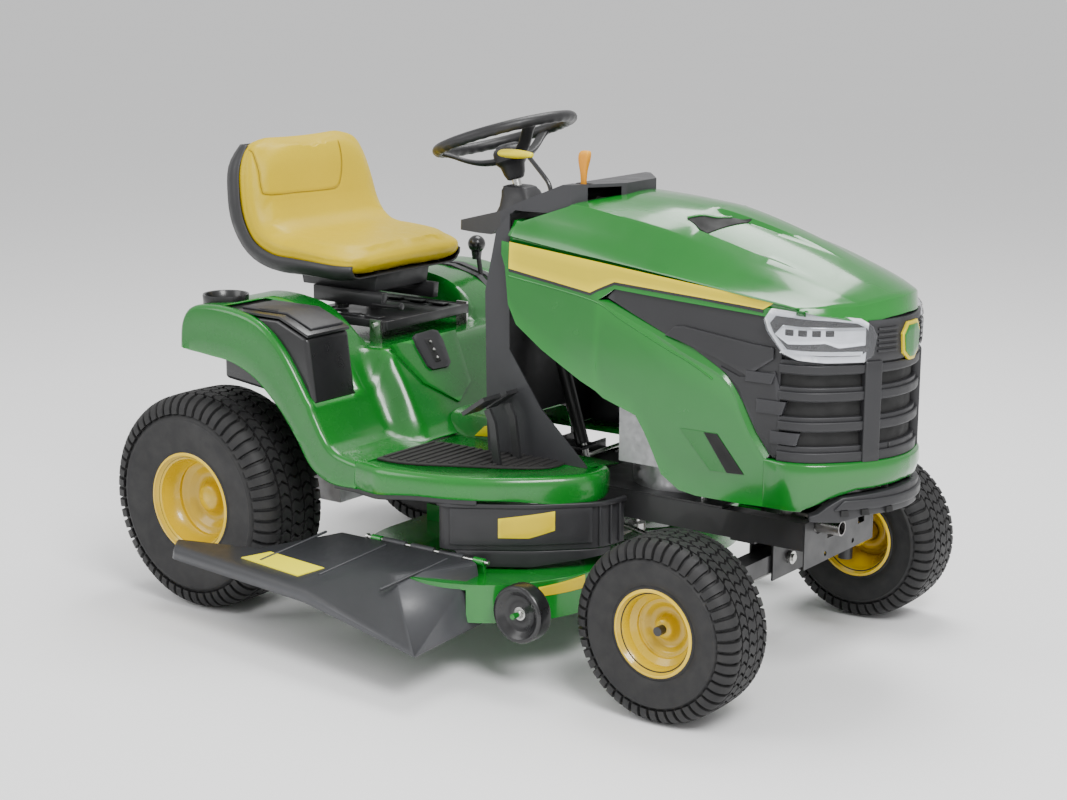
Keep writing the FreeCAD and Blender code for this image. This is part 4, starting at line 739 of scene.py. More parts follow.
def bow(x):
    """How much a station curves back towards the sides, per square millimetre."""
    return NOSE_BOW * max(0.0, (x - 1300) / 224) ** 1.5


def hood_section(x):
    """The half section at a station, from the centreline out and down to the side panel."""
    crease = between(x, HOOD_STATIONS, 2)
    shoulder = between(x, HOOD_STATIONS, 4)
    edge_z = between(x, HOOD_STATIONS, 5)
    inner, outer = channel_sides(x)
    ys = [0, 8, 16] + [inner + d for d in (-4, 0, 4)]
    ys += [inner + (outer - inner) * k / 6 for k in range(1, 6)] + [outer + d for d in (-4, 0, 4)]
    ys += [crease - 4, crease, crease + 4] + [crease + (shoulder - crease) * k / 4 for k in (1, 2, 3)]
    rear_limit = linear(x, HOOD_NOTCH)
    section = []
    for y in sorted(ys):
        y = max(y, rear_limit)
        section.append((x - bow(x) * y * y, y, hood_height(x, y)))
    for y, z in (
        (shoulder + 4, edge_z + 3), (shoulder + 5, edge_z), (shoulder - 2, edge_z - 4),
        (shoulder - 2, edge_z - 14),
    ):
        section.append((x - bow(x) * y * y, y, z))
    return section


class Fascia:
    """The upright skin of the hood's sides and nose: s runs round it from the centre of the nose."""

    HALF_PLAN = [
        (1524, 0),
        (1519, 40),
        (1505, 80),
        (1484, 115),
        (1456, 150),
        (1422, 184),
        (1388, 203),
        (1350, 210),
        (1300, 213),
        (1200, 218),
        (1000, 225),
        (800, 226),
        (600, 226),
    ]

    def __init__(self):
        self.plan = smooth_path([(x, y, 0) for x, y in self.HALF_PLAN], per=10)
        self.length = [0.0]
        for first, second in zip(self.plan, self.plan[1:]):
            self.length.append(self.length[-1] + (second - first).length)

    def on_plan(self, s):
        s = min(max(s, 0.0), self.length[-1] - 0.001)
        i = max(k for k, length in enumerate(self.length) if length <= s)
        first, second = self.plan[i], self.plan[i + 1]
        t = (s - self.length[i]) / (self.length[i + 1] - self.length[i])
        along = (second - first).normalized()
        return first + (second - first) * t, Vector((along.y, -along.x, 0))

    def point(self, s, z, out):
        """Right of the centre for a positive s, left for a negative one."""
        place, outward = self.on_plan(abs(s))
        lean = 12 * max(0.0, (z - 640) / 240) * eased((1400 - place.x) / 150)
        flat = place + outward * (out - lean)
        return flat.x, -flat.y if s > 0 else flat.y, z

    def from_x(self, x):
        return next(self.length[k] for k, p in enumerate(self.plan) if p.x <= x and p.y > 150)

    def from_y(self, y):
        """For a half-width on the nose."""
        for k in range(1, len(self.plan)):
            if self.plan[k].y >= y:
                before = self.plan[k - 1].y
                t = (y - before) / (self.plan[k].y - before)
                return self.length[k - 1] + (self.length[k] - self.length[k - 1]) * t
        return self.length[-1]


FASCIA = Fascia()
side_s = FASCIA.from_x
nose_s = FASCIA.from_y


def on_side(points):
    """(x, z) points on the hood's side as (s, z) on the fascia."""
    return [(side_s(x), z) for x, z in points]


def both_sides(shape, outline, outer, inner, step=14, levels=5):
    """The same panel on the right and on the left of the fascia."""
    shape.slab(FASCIA.point, outline, outer, inner, step, levels)
    shape.slab(FASCIA.point, [(-s, z) for s, z in outline], outer, inner, step, levels)


def hood_top():
    """The crowned lid with its creases, air channels, shoulder groove and brow."""
    xs = [682 + (1512 - 682) * k / 92 for k in range(93)]
    rows = [hood_section(x) for x in xs]
    front = rows[-1]
    for out, drop in ((3, 4), (6, 1e3), (-8, 1e3)):
        row = []
        for x, y, z in front:
            low = linear(y, BROW_LOW)
            spread = 1 + out / 250
            row.append((x + out, y * spread, max(z - drop, low) if y < 204 else min(z, low + 6)))
        rows.append(row)
    full = [[(x, -y, z) for x, y, z in reversed(row)][:-1] + row for row in rows]
    shape = Shape().rows(full)
    made = piece("hood_top", shape, GREEN, "hood", ("hood_shell",), angle=28)
    thickened(made, 3)


SIDE_REAR_EDGE = [
    (678, 872),
    (686, 849),
    (692, 796),
    (703, 743),
    (724, 702),
    (790, 656),
    (881, 602),
    (958, 572),
    (1022, 546),
    (1052, 514),
    (1074, 474),
    (1101, 430),
    (1135, 403),
    (1178, 397),
    (1270, 396),
    (1398, 399),
]
INSERT_LOW = [
    (925, 776), (1088, 712), (1147, 692), (1205, 664), (1233, 648), (1252, 622), (1274, 580), (1298, 536),
    (1326, 496),
]
INSERT_TOP = [(925, 776), (960, 803), (1145, 793), (1314, 783)]
VENT = [(1135, 534), (1223, 534), (1282, 457), (1200, 455)]
VENT_HOLE = [(1196, 533), (1223, 533), (1280, 458), (1246, 456)]


def side_top(x):
    return between(x, HOOD_STATIONS, 5) - 13


def hood_sides():
    """The side panels: one skin, cut away for the dark insert."""
    shape = Shape()
    rear = [point for point in SIDE_REAR_EDGE if point[0] <= 925]
    rear_low = linear(925, [(x, z) for x, z in SIDE_REAR_EDGE])
    outline = on_side(rear + [
        (925, rear_low), (925, side_top(925)), (800, side_top(800)), (682, side_top(682)),
    ])
    both_sides(shape, outline, 0, -3)
    ahead = [point for point in SIDE_REAR_EDGE if point[0] > 925]
    outline = on_side([(925, rear_low)] + ahead[:-1] + [(1326, 398), (1326, 496)] + INSERT_LOW[::-1])
    both_sides(shape, outline, 0, -3, step=9)
    crown = [(x, side_top(x)) for x in (925, 1000, 1100, 1200, 1300, 1334)]
    outline = on_side(INSERT_TOP + [(1334, 790)] + crown[::-1])
    both_sides(shape, outline, 0, -3, step=9)
    piece("hood_sides", shape, GREEN, "hood", angle=28)
    bevel = Shape()
    for sign in (1, -1):
        outer = smooth_path([(*FASCIA.point(sign * side_s(x), z, 0.4),) for x, z in INSERT_LOW], 4)
        inset = [(x + 4, z + 13) for x, z in INSERT_LOW]
        inset[0] = (942, 778)
        inner = smooth_path([(*FASCIA.point(sign * side_s(x), z, -10),) for x, z in inset], 4)
        lower = [p + Vector((0, 0, -7)) for p in outer]
        bevel.rows([lower, outer, inner])
    piece("insert_bevel", bevel, GREEN, "hood", angle=20)
    crease = Shape()
    for sign in (1, -1):
        line = [(694, 804), (905, 775), (985, 742), (1090, 697), (1155, 672), (1205, 645)]
        path = smooth_path([FASCIA.point(sign * side_s(x), z, -1.2) for x, z in line], 6)
        crease.tube(path, 2.6, 8)
    piece("side_crease", crease, GREEN, "hood", angle=60)


def side_stripe():
    """The yellow stripe, left blank, and a black band showing below it: painted shade under the stripe's
    edge.
    """
    top = [(694, 877), (929, 855), (1167, 830), (1334, 813)]
    low = [(1309, 797), (1167, 806), (962, 818), (924, 800), (904, 790), (694, 820)]
    shape = Shape()
    both_sides(shape, on_side(top + low), 1.6, 0.2, levels=3)
    piece("side_stripe", shape, STRIPE, "hood", angle=30)
    # Painted shade: a gloss black band a little larger than the stripe, showing under its lower edge.
    edge = Shape()
    border = [
        (694, 872), (1309, 812), (1312, 790), (1167, 801), (960, 812), (926, 795), (904, 784), (691, 814),
    ]
    both_sides(edge, on_side(border), 1.0, 0.1, levels=3)
    piece("stripe_shade_band", edge, GLOSS_BLACK, "hood", angle=30)


def side_inserts():
    """The black panels behind the headlights, with their stepped facets."""
    shape = Shape()
    lower = [(x + 3, z + 10) for x, z in INSERT_LOW[1:]]
    outline = [(940, 783)] + lower + [
        (1345, 500), (1352, 700), (1344, 790), (1314, 787), (1145, 797), (962, 806),
    ]
    both_sides(shape, on_side(outline), -6, -12, step=10)
    facet = [
        (1085, 722), (1112, 741), (1135, 744), (1287, 725), (1336, 722), (1336, 700), (1278, 660),
        (1205, 690), (1150, 706),
    ]
    both_sides(shape, on_side(facet), -1.5, -8, step=10)
    lower_facet = [
        (1216, 672), (1262, 656), (1296, 660), (1340, 676), (1352, 640), (1352, 508), (1336, 506),
        (1306, 548), (1282, 592), (1262, 634),
    ]
    both_sides(shape, on_side(lower_facet), -3, -9, step=8)
    piece("side_inserts", shape, TRIM, "hood", ("hood_inserts",), angle=28, bevel=1.2)


def side_vents():
    """A sunk green tray, and a near-black sheet at its front: painted shade for the hole."""
    tray = Shape()
    for sign in (1, -1):
        corners = [FASCIA.point(sign * side_s(x), z, 1.2) for x, z in VENT]
        floor = [FASCIA.point(sign * side_s(x), z, 0.5) for x, z in [
            (1150, 528), (1216, 528), (1268, 462), (1205, 461),
        ]]
        tray.rows([corners, floor], around=True)
        tray.add(floor, [(0, 1, 2, 3)])
    piece("vent_trays", tray, GREEN_FENDER, "hood", angle=20)
    # Painted shade: a flat near-black sheet where the vent's hole is.
    hole = Shape()
    both_sides(hole, on_side(VENT_HOLE), 1.8, 0.3, step=6, levels=2)
    piece("vent_holes", hole, SHADE_AND_EMITTER_BLACK, "hood", angle=30)


def air_slots():
    """Near-black sheets at the head of the hood's air channels: painted shade for the slots."""
    shape = Shape()

    def on_top(x, y, out):
        return x, y, hood_height(x, y) + out

    # Painted shade: flat near-black sheets on the hood top where the slots are.
    for side in (-1, 1):
        outline = [(1063, side * 106), (1112, side * 121), (1176, side * 38), (1136, side * 50)]
        shape.slab(on_top, outline, 2.2, -4, step=5, levels=8)
    piece("air_slots", shape, SHADE_AND_EMITTER_BLACK, "hood", angle=40)
    rim = Shape()
    for side in (-1, 1):
        path = [on_top(x, side * y, 3.2) for x, y in ((1063, 106), (1088, 86), (1112, 67), (1136, 50))]
        rim.tube(smooth_path(path, 5), 2.6, 8)
    piece("air_slot_rims", rim, GREEN, "hood", angle=60)


HEADLIGHT = [
    (1312, 780),
    (1326, 801),
    (1362, 800),
    (1436, 794),
    (1478, 785),
    (1492, 771),
    (1497, 750),
    (1494, 712),
    (1484, 698),
    (1431, 699),
    (1385, 704),
    (1357, 714),
    (1321, 757),
]


def nose_outline(points):
    """(x, z) points as (s, z), where x runs along the side and on round the nose."""
    table = [(-p.x, length) for p, length in zip(FASCIA.plan, FASCIA.length)]
    return [(linear(-x, table), z) for x, z in points]


def shrunk(outline, margin):
    """An outline drawn in towards its middle by a margin."""
    middle_u = (min(u for u, _ in outline) + max(u for u, _ in outline)) / 2
    middle_v = (min(v for _, v in outline) + max(v for _, v in outline)) / 2
    half_u = max(u for u, _ in outline) - middle_u
    half_v = max(v for _, v in outline) - middle_v
    return [
        (middle_u + (u - middle_u) * (1 - margin / half_u), middle_v + (v - middle_v) * (1 - margin / half_v))
        for u, v in outline
    ]


def headlights():
    """A bright frame, a dark bezel, a stepped reflector, four emitters and a clear cover."""
    outline = nose_outline(HEADLIGHT)
    body = Shape()
    both_sides(body, outline, 1, -14, step=6, levels=8)
    piece("headlight_frames", body, BRIGHT, "hood", ("headlight_housings",), angle=30, bevel=2)
    bezel = Shape()
    inner = shrunk(outline, 13)
    both_sides(bezel, inner, 2.6, -2, step=6, levels=8)
    piece("headlight_bezels", bezel, GLOSS_BLACK, "hood", angle=30, bevel=1.5)
    reflector = Shape()
    upper = shrunk(outline, 24)
    s_low = min(s for s, _ in upper)
    s_high = max(s for s, _ in upper)
    span = s_high - s_low
    tray = [
        (s_low, 732),
        (s_low, 768),
        (s_high - 0.1 * span, 772),
        (s_high, 752),
        (s_high - 0.16 * span, 734),
        (s_low + 0.45 * span, 738),
        (s_low + 0.3 * span, 728),
    ]
    both_sides(reflector, tray, 4, 0, step=5, levels=5)
    piece("headlight_reflectors", reflector, REFLECTOR, "hood", angle=30, bevel=1.2)
    lamps = Shape()
    for k in range(4):
        start = s_low + span * (0.36 + 0.14 * k)
        square = [(start, 752), (start, 764), (start + 0.09 * span, 764), (start + 0.09 * span, 752)]
        both_sides(lamps, square, 6, 3, step=5, levels=2)
    piece("headlight_emitters", lamps, SHADE_AND_EMITTER_BLACK, "hood", angle=30, bevel=0.8)
    strip = Shape()
    bar = [(s_low + 6, 712), (s_low + 6, 720), (s_high - 20, 724), (s_high - 12, 716)]
    both_sides(strip, bar, 4.5, 1, step=6, levels=2)
    piece("headlight_strips", strip, BRIGHT, "hood", angle=30, bevel=1.0)
    cover = Shape()
    both_sides(cover, shrunk(outline, 1.5), 9, 7.4, step=5, levels=10)
    piece("headlight_covers", cover, LENS, "hood", ("headlight_lenses",), angle=60)


GRILLE_ROWS = [(648, 673), (588, 619), (529, 558)]


def grille():
    """The dark nose: a near-black sheet of painted shade behind the slats, then slats, two uprights, side
    facets and the blank badge with its ribs.
    """
    # Painted shade: a near-black sheet behind the slats, for the dark space behind the grille.
    edge = side_s(1346)
    backing = Shape().slab(
        FASCIA.point, [(-edge, 494), (-edge, 782), (edge, 782), (edge, 494)], -12, -20, 12, 6,
    )
    piece("grille_shade_sheet", backing, SHADE_AND_EMITTER_BLACK, "hood", ("grille",), angle=30)
    bars = Shape()
    inner = nose_s(84)
    outer = nose_s(114)
    slats = [(494, 529), (558, 588), (619, 648), (673, 702)]
    for low, high in slats:
        middle = (low + high) / 2
        for s0, s1 in ((-inner, inner), (outer - 4, edge - 2), (-edge + 2, -outer + 4)):
            rear = [(s0, low), (s0, high), (s1, high), (s1, low)]
            bars.slab(FASCIA.point, rear, -3, -16, 10, 4)
            ridge = [(s0, low + 3), (s0, middle + 6), (s1, middle + 6), (s1, low + 3)]
            bars.slab(FASCIA.point, ridge, 3, -4, 10, 4)
    piece("grille_slats", bars, TRIM, "hood", angle=30, bevel=2)
    posts = Shape()
    for sign in (1, -1):
        column = [
            (sign * (inner - 3), 494), (sign * (inner - 3), 700), (sign * outer, 700), (sign * outer, 494),
        ]
        posts.slab(FASCIA.point, column, 7, -16, 5, 8)
    piece("grille_posts", posts, TRIM, "hood", angle=30, bevel=4, segments=3)
    corners = Shape()
    for (low, high), start, end in zip(GRILLE_ROWS, (1274, 1300, 1332), (1340, 1364, 1394)):
        near = nose_outline([(start, low), (end, low)])
        wedge = [
            (near[0][0], low + 2), (near[0][0], high - 2), (near[1][0], high - 2),
            (near[1][0] + 8, low + 2),
        ]
        both_sides(corners, wedge, 0.5, -12, 6, 3)
    piece("grille_corners", corners, DASH, "hood", angle=30, bevel=2)
    badge_panel = Shape().slab(
        FASCIA.point, [(-outer, 698), (-outer + 6, 780), (outer - 6, 780), (outer, 698)], 2, -14, 8, 6
    )
    piece("badge_panel", badge_panel, TRIM, "hood", angle=30, bevel=3)
    ribs = Shape()
    for k in range(5):
        z = 716 + 11 * k
        both_sides(
            ribs, [(nose_s(48), z), (nose_s(48), z + 5), (nose_s(92), z + 5), (nose_s(92), z)], 6, 1, 6, 2,
        )
    piece("badge_ribs", ribs, TRIM, "hood", angle=30, bevel=1)
    half = nose_s(36)
    shield = [
        (-0.55, 770), (0.55, 770), (1, 748), (0.86, 708), (0.3, 692), (-0.3, 692), (-0.86, 708), (-1, 748),
    ]
    for name, size, out, material in (("badge_rim", 1.0, 7, STRIPE), ("badge_field", 0.82, 9, GREEN)):
        outline = [(u * half * size, 731 + (z - 731) * size) for u, z in shield]
        made = Shape().slab(FASCIA.point, outline, out, 1, 4, 5)
        piece(name, made, material, "hood", angle=30, bevel=1.2)


def nose_lip():
    """The green chin that runs round under the grille, with its rolled upper edge."""
    rows = []
    for k in range(-60, 61):
        t = k / 60
        s = t * side_s(1322)
        place, _ = FASCIA.on_plan(abs(s))
        low = linear(abs(place.y), [(0, 446), (120, 440), (165, 424), (200, 399), (213, 397)])
        if place.x < 1400 and place.y > 195:
            low = 397
        fade = eased((side_s(1322) - abs(s)) / 60)
        rows.append(
            [
                FASCIA.point(s, 486, -16),
                FASCIA.point(s, 497, -14),
                FASCIA.point(s, 497, 1 + 5 * fade),
                FASCIA.point(s, 493, 2 + 9 * fade),
                FASCIA.point(s, 470, 1 + 11 * fade),
                FASCIA.point(s, low + 14, 0.5 + 8 * fade),
                FASCIA.point(s, low, 0.2 + 4 * fade),
                FASCIA.point(s, low, -6),
            ]
        )
    piece(
        "nose_lip", Shape().rows(rows, around=True, caps=True), GREEN, "hood", angle=40,
        bevel=2,
    )


def bumper():
    """The black bumper with a stepped face and two pockets in its lower edge, drawn as near-black patches of
    painted shade.
    """
    shape = Shape()
    half = nose_s(190)
    rise = [(-half, 390), (-half + 16, 396), (-half + 34, 410), (-half + 64, 427)]
    top = rise + [(0, 438)] + [(-s, z) for s, z in reversed(rise)]
    low = [
        (half, 379), (nose_s(150), 376), (nose_s(104), 388), (-nose_s(104), 388), (-nose_s(150), 376),
        (-half, 379),
    ]
    shape.slab(FASCIA.point, top + low, 12, -18, 8, 4)
    ledge = [(-half + 66, 422), (half - 66, 422), (half - 46, 402), (-half + 46, 402)]
    shape.slab(FASCIA.point, ledge, 17, 2, 8, 3)
    piece("bumper_face", shape, TRIM, "chassis", ("front_bumper",), angle=30, bevel=3)
    # Painted shade: near-black patches where the pockets are, not recesses.
    pockets = Shape()
    for y in (60, 108, 142):
        start = nose_s(y)
        both_sides(
            pockets, [(start - 8, 390), (start - 5, 402), (start + 9, 402), (start + 9, 390)], 18, 6, 5, 2,
        )
    piece("bumper_pockets", pockets, SHADE_AND_EMITTER_BLACK, "chassis", angle=30, bevel=1.5)


def hood():
    hood_top()
    hood_sides()
    side_stripe()
    side_inserts()
    side_vents()
    air_slots()
    headlights()
    grille()
    nose_lip()
    bumper()


# ---------------------------------------------------------------- seat


# spine x and z, half-width, half-thickness
CUSHION_SPINE = [
    (-99, 1049, 128, 7),
    (-100, 1030, 184, 32),
    (-97, 985, 212, 47),
    (-87, 925, 226, 49),
    (-73, 870, 231, 49),
    (-44, 824, 233, 47),
    (8, 799, 233, 40),
    (70, 794, 233, 36),
    (130, 791, 232, 34),
    (188, 787, 226, 33),
    (226, 783, 200, 26),
    (240, 781, 150, 9),
]
SEAM_LINE = [
    (-186, 1024), (-190, 975), (-194, 934), (-182, 920), (-96, 918), (9, 915), (50, 918), (68, 937),
    (80, 968), (90, 1024),
]
CUSHION_SQUARENESS = 0.62
CUSHION_DISH = 7
VOXEL = 0.006
PRESSURE = 4
SIM_FRAMES = 20
SWELL_LIMIT = 0.007


def spine_rows(spine, steps, shape_row):
    """Rows of points round a spine in the x-z plane, densely and smoothly spaced."""
    stations = smooth_path([Vector((x, z, w)) for x, z, w, _ in spine], steps)
    depths = smooth_path([Vector((t, 0, 0)) for *_, t in spine], steps)
    rows = []
    for i, (station, depth) in enumerate(zip(stations, depths)):
        ahead = stations[min(i + 1, len(stations) - 1)]
        behind = stations[max(i - 1, 0)]
        along = Vector((ahead.x - behind.x, ahead.y - behind.y)).normalized()
        face = Vector((-along.y, along.x))
        rows.append(
            [
                (station.x + face.x * n, y, station.y + face.y * n)
                for y, n in shape_row(station.z, depth.x)
            ]
        )
    return rows


def cushion_row(width, depth):
    """A crowned section: flat-bottomed, round at its sides and dished across its face."""
    row = []
    for u, v in oval(1, 1, CUSHION_SQUARENESS, 40):
        dish = CUSHION_DISH * math.cos(math.pi / 2 * u) * (v > 0)
        row.append((u * width, v * depth - dish))
    return row


def baked(thing):
    """Applies every modifier, so that the mesh holds its result."""
    seen = thing.evaluated_get(bpy.context.evaluated_depsgraph_get())
    mesh = bpy.data.meshes.new_from_object(seen)
    thing.modifiers.clear()
    thing.data = mesh
    return thing


def puffed(thing, limit):
    """Inflates a cushion by cloth simulation, moving no point further than the limit."""
    voxels = thing.modifiers.new("voxels", "REMESH")
    voxels.mode = "VOXEL"
    voxels.voxel_size = VOXEL
    baked(thing)
    start = [vertex.co.copy() for vertex in thing.data.vertices]
    cloth = thing.modifiers.new("cloth", "CLOTH")
    cloth.settings.use_pressure = True
    cloth.settings.uniform_pressure_force = PRESSURE
    cloth.settings.effector_weights.gravity = 0
    cloth.settings.quality = 5
    scene = bpy.context.scene
    for moment in range(1, SIM_FRAMES + 1):
        scene.frame_set(moment)
    baked(thing)
    scene.frame_set(1)
    for vertex, origin in zip(thing.data.vertices, start):
        moved = vertex.co - origin
        if moved.length > limit:
            vertex.co = origin + moved.normalized() * limit
    return thing


def sunk(thing, path, width, depth):
    """Presses a channel into a mesh along a path of row frame points."""
    tree = KDTree(len(path))
    for i, point in enumerate(path):
        tree.insert(point, i)
    tree.balance()
    for vertex in thing.data.vertices:
        _, _, distance = tree.find(vertex.co)
        if distance < 3 * width:
            vertex.co -= vertex.normal * depth * math.exp(-((distance / width) ** 2))


def on_surface(thing, points, direction):
    """Where rays from row frame points first meet the mesh."""
    tree = BVHTree.FromObject(thing, bpy.context.evaluated_depsgraph_get())
    hits = [tree.ray_cast(point, direction)[0] for point in points]
    return [hit for hit in hits if hit is not None]


def seat():
    """The padded cushion with its sewn back panel, its shell and its frame."""
    rows = spine_rows(CUSHION_SPINE, 3, cushion_row)
    cushion = piece(
        "cushion", Shape().rows(rows, around=True, caps=True), VINYL, "seat",
        ("seat_cushion",),
    )
    puffed(cushion, SWELL_LIMIT)
    refining = cushion.modifiers.new("refining", "SUBSURF")
    refining.levels = refining.render_levels = 1
    baked(cushion)
    line = smooth_path([(200, y, z) for y, z in SEAM_LINE], 12)
    seam = on_surface(cushion, [at(*point) for point in line], Vector((-1, 0, 0)))
    sunk(cushion, seam, 0.0028, 0.0028)
    welt = smooth_path([(x, z, w) for x, z, w, _ in CUSHION_SPINE[1:-1]], 10)
    for side in (-1, 1):
        edge = [at(p.x, side * (p.z + 40), p.y) for p in welt]
        sunk(cushion, on_surface(cushion, edge, Vector((0, -side, 0))), 0.003, 0.0016)
    thread = Shape().tube([back(point) for point in seam], 0.9, 6)
    piece("cushion_thread", thread, SEAM, "seat", angle=60)
    cushion.data.polygons.foreach_set("use_smooth", [True] * len(cushion.data.polygons))
    seat_shell()
    seat_frame()


def shell_row(width, depth):
    """A tray that wraps the cushion's underside."""
    half = width * 0.972
    rim = -depth * 0.25
    floor = -depth - 10
    outside = [(-half, rim), (-half, -depth * 0.7), (-half + 10, floor + 5), (-half + 26, floor)]
    outside += [(half - 26, floor), (half - 10, floor + 5), (half, -depth * 0.7), (half, rim)]
    return outside


def seat_shell():
    spine = [(x, z, w, t * (1.1 if z > 840 else 1.0)) for x, z, w, t in CUSHION_SPINE[1:-1]]
    rows = spine_rows(spine, 4, shell_row)
    made = piece("shell_tray", Shape().rows(rows), SHELL, "seat", ("seat_shell",), angle=50)
    thickened(made, 4, offset=1)
    ribs = Shape()
    for y in (-150, -75, 0, 75, 150):
        outline = [
            (-128, 985), (-108, 900), (-70, 815), (-40, 775), (20, 752), (200, 750), (200, 744), (16, 740),
            (-52, 766), (-84, 806), (-122, 896), (-146, 978),
        ]
        ribs.prism(outline, "y", y - 4, y + 4)
    ribs.prism([(-20, 703), (205, 703), (215, 747), (-30, 747)], "y", -95, 95)
    piece("shell_ribs", ribs, SHELL, "seat", angle=30, bevel=2)
    rails = Shape()
    for side in (-1, 1):
        rails.prism([(20, 668), (232, 668), (236, 704), (20, 704)], "y", side * 95 - 9, side * 95 + 9)
    rails.tube(smooth_path([(204, -101, 675), (250, -101, 675), (292, -101, 678)], 4), [5] * 8 + [9], 10)
    piece("seat_rails", rails, FRAME_BLACK, "seat", angle=30, bevel=1.5)


def seat_frame():
    """Two coil springs under the back of the pan, and its slotted folded edge."""
    low, high = (back(corner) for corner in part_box("seat_pan"))
    coils = Shape()
    for side in (-1, 1):
        path = []
        for k in range(91):
            turn = 2 * math.pi * k / 18
            path.append((70 + 15 * math.cos(turn), side * 60 + 15 * math.sin(turn), 650 + 17 * k / 90))
        coils.tube(path, 2.2, 6)
    piece("seat_springs", coils, ZINC, "seat_base", angle=60)
    edge = Shape()
    for side in (-1, 1):
        edge.prism([(16, 628), (286, 632), (288, 650), (16, 650)], "y", side * 150 - 2, side * 150 + 2)
        for k in range(3):
            x = 60 + 70 * k
            edge.prism(
                [(x, 648), (x + 46, 648), (x + 46, 652), (x, 652)], "y", side * 118 - 12, side * 118 + 12,
            )
    edge.prism([(-150, 628), (150, 628), (150, 650), (-150, 650)], "x", 284, 288)
    piece("pan_edges", edge, FRAME_BLACK, "seat_base", angle=30, bevel=1.5)


# ---------------------------------------------------------------- fenders and footrests


FENDER_TOP = [
    (-62, 600),
    (-56, 654),
    (-32, 690),
    (16, 704),
    (100, 702),
    (183, 682),
    (250, 631),
    (315, 541),
    (369, 451),
    (401, 422),
    (440, 411),
    (470, 407),
]
FENDER_ARCH = [
    (-50, 597),
    (-30, 595),
    (0, 593),
    (36, 590),
    (96, 584),
    (150, 566),
    (190, 541),
    (240, 497),
    (290, 437),
    (333, 377),
    (390, 350),
    (464, 349),
]
RISER_LINE = [(300, 601), (330, 600), (348, 588), (384, 531), (420, 471), (446, 432), (464, 414), (480, 407)]
SEAT_DECK_Z = 601
FENDER_OUT = 468
BIN = (62, 333, -447, -312)
QUADRANT_SLOT = (62, 300, 336, 354)
REAR_STATIONS = 21
OPENINGS_ABOVE = 500


def fender_row(top, arch, outward):
    """One section across the machine: flat deck, raised fenders, rolled edges and side skirts."""
    deck_z = min(top.z, SEAT_DECK_Z) if top.x < 100 else linear(top.x, RISER_LINE)
    half = []
    for y in (0, 60, 120, 160, 180, 188, 196, 204, 212, 220, 230, 245, 262, 280, 312, 336, 354, 400, 447):
        lift = eased((y - 180) / 40) if top.x < 262 else eased((y - 200) / 62)
        half.append((top.x, y, deck_z + (top.z - deck_z) * lift))
    roll = 12
    for turn in (0, 25, 50, 75, 90):
        a = math.radians(turn)
        inset = outward * (roll * (math.cos(a) - 1))
        half.append((top.x + inset.x, FENDER_OUT - roll + roll * math.sin(a), top.z + inset.z))
    skirt_top = Vector(half[-1])
    for t in (0.3, 0.65, 0.94):
        x = skirt_top.x + (arch.x - skirt_top.x) * t
        z = skirt_top.z + (arch.z - skirt_top.z) * t
        half.append((x, FENDER_OUT - 1.5 * math.sin(math.pi * t), z))
    half.append((arch.x, FENDER_OUT - 3, arch.z))
    half.append((arch.x, FENDER_OUT - 14, arch.z + 1))
    return half


def inside(x, y, zone):
    """Whether a plan point is within (x low, x high, y low, y high)."""
    return zone[0] < x < zone[1] and zone[2] < y < zone[3]


def fenders():
    """The green skin over both rear wheels and the seat deck, open at the bin and the lift lever."""
    tops = smooth_path([(x, 0, z) for x, z in FENDER_TOP], 8)
    arches = smooth_path([(x, 0, z) for x, z in FENDER_ARCH], 8)
    xs = [p.x for p in tops]
    past_rear = range(REAR_STATIONS, len(xs))
    for limit in (BIN[0], BIN[1], QUADRANT_SLOT[0], QUADRANT_SLOT[1]):
        nearest = min(past_rear, key=lambda i: abs(xs[i] - limit))
        tops[nearest].x = limit
    rows = []
    for i, (top, arch) in enumerate(zip(tops, arches)):
        ahead = tops[min(i + 1, len(tops) - 1)]
        behind = tops[max(i - 1, 0)]
        along = (ahead - behind).normalized()
        outward = Vector((-along.z, 0, along.x))
        half = fender_row(top, arch, outward)
        rows.append([(x, -y, z) for x, y, z in reversed(half)][:-1] + half)
    shape = Shape().rows(rows)
    kept = []
    for face in shape.faces:
        centre = sum((Vector(shape.points[i]) for i in face), Vector()) / 4
        open_here = any(inside(centre.x, centre.y, zone) for zone in (BIN, QUADRANT_SLOT))
        if centre.z <= OPENINGS_ABOVE or not open_here:
            kept.append(face)
    shape.faces = kept
    made = piece("fender_skin", shape, GREEN_FENDER, "chassis", ("fender_deck",), angle=40)
    thickened(made, 3)
    footrests()
    tunnel()
    fender_details()


FOOTREST_EDGE = [
    (460, 467), (505, 478), (560, 484), (690, 458), (780, 414), (850, 358), (905, 300), (934, 250),
    (934, 205), (920, 168),
]
FLOOR_Z = 405


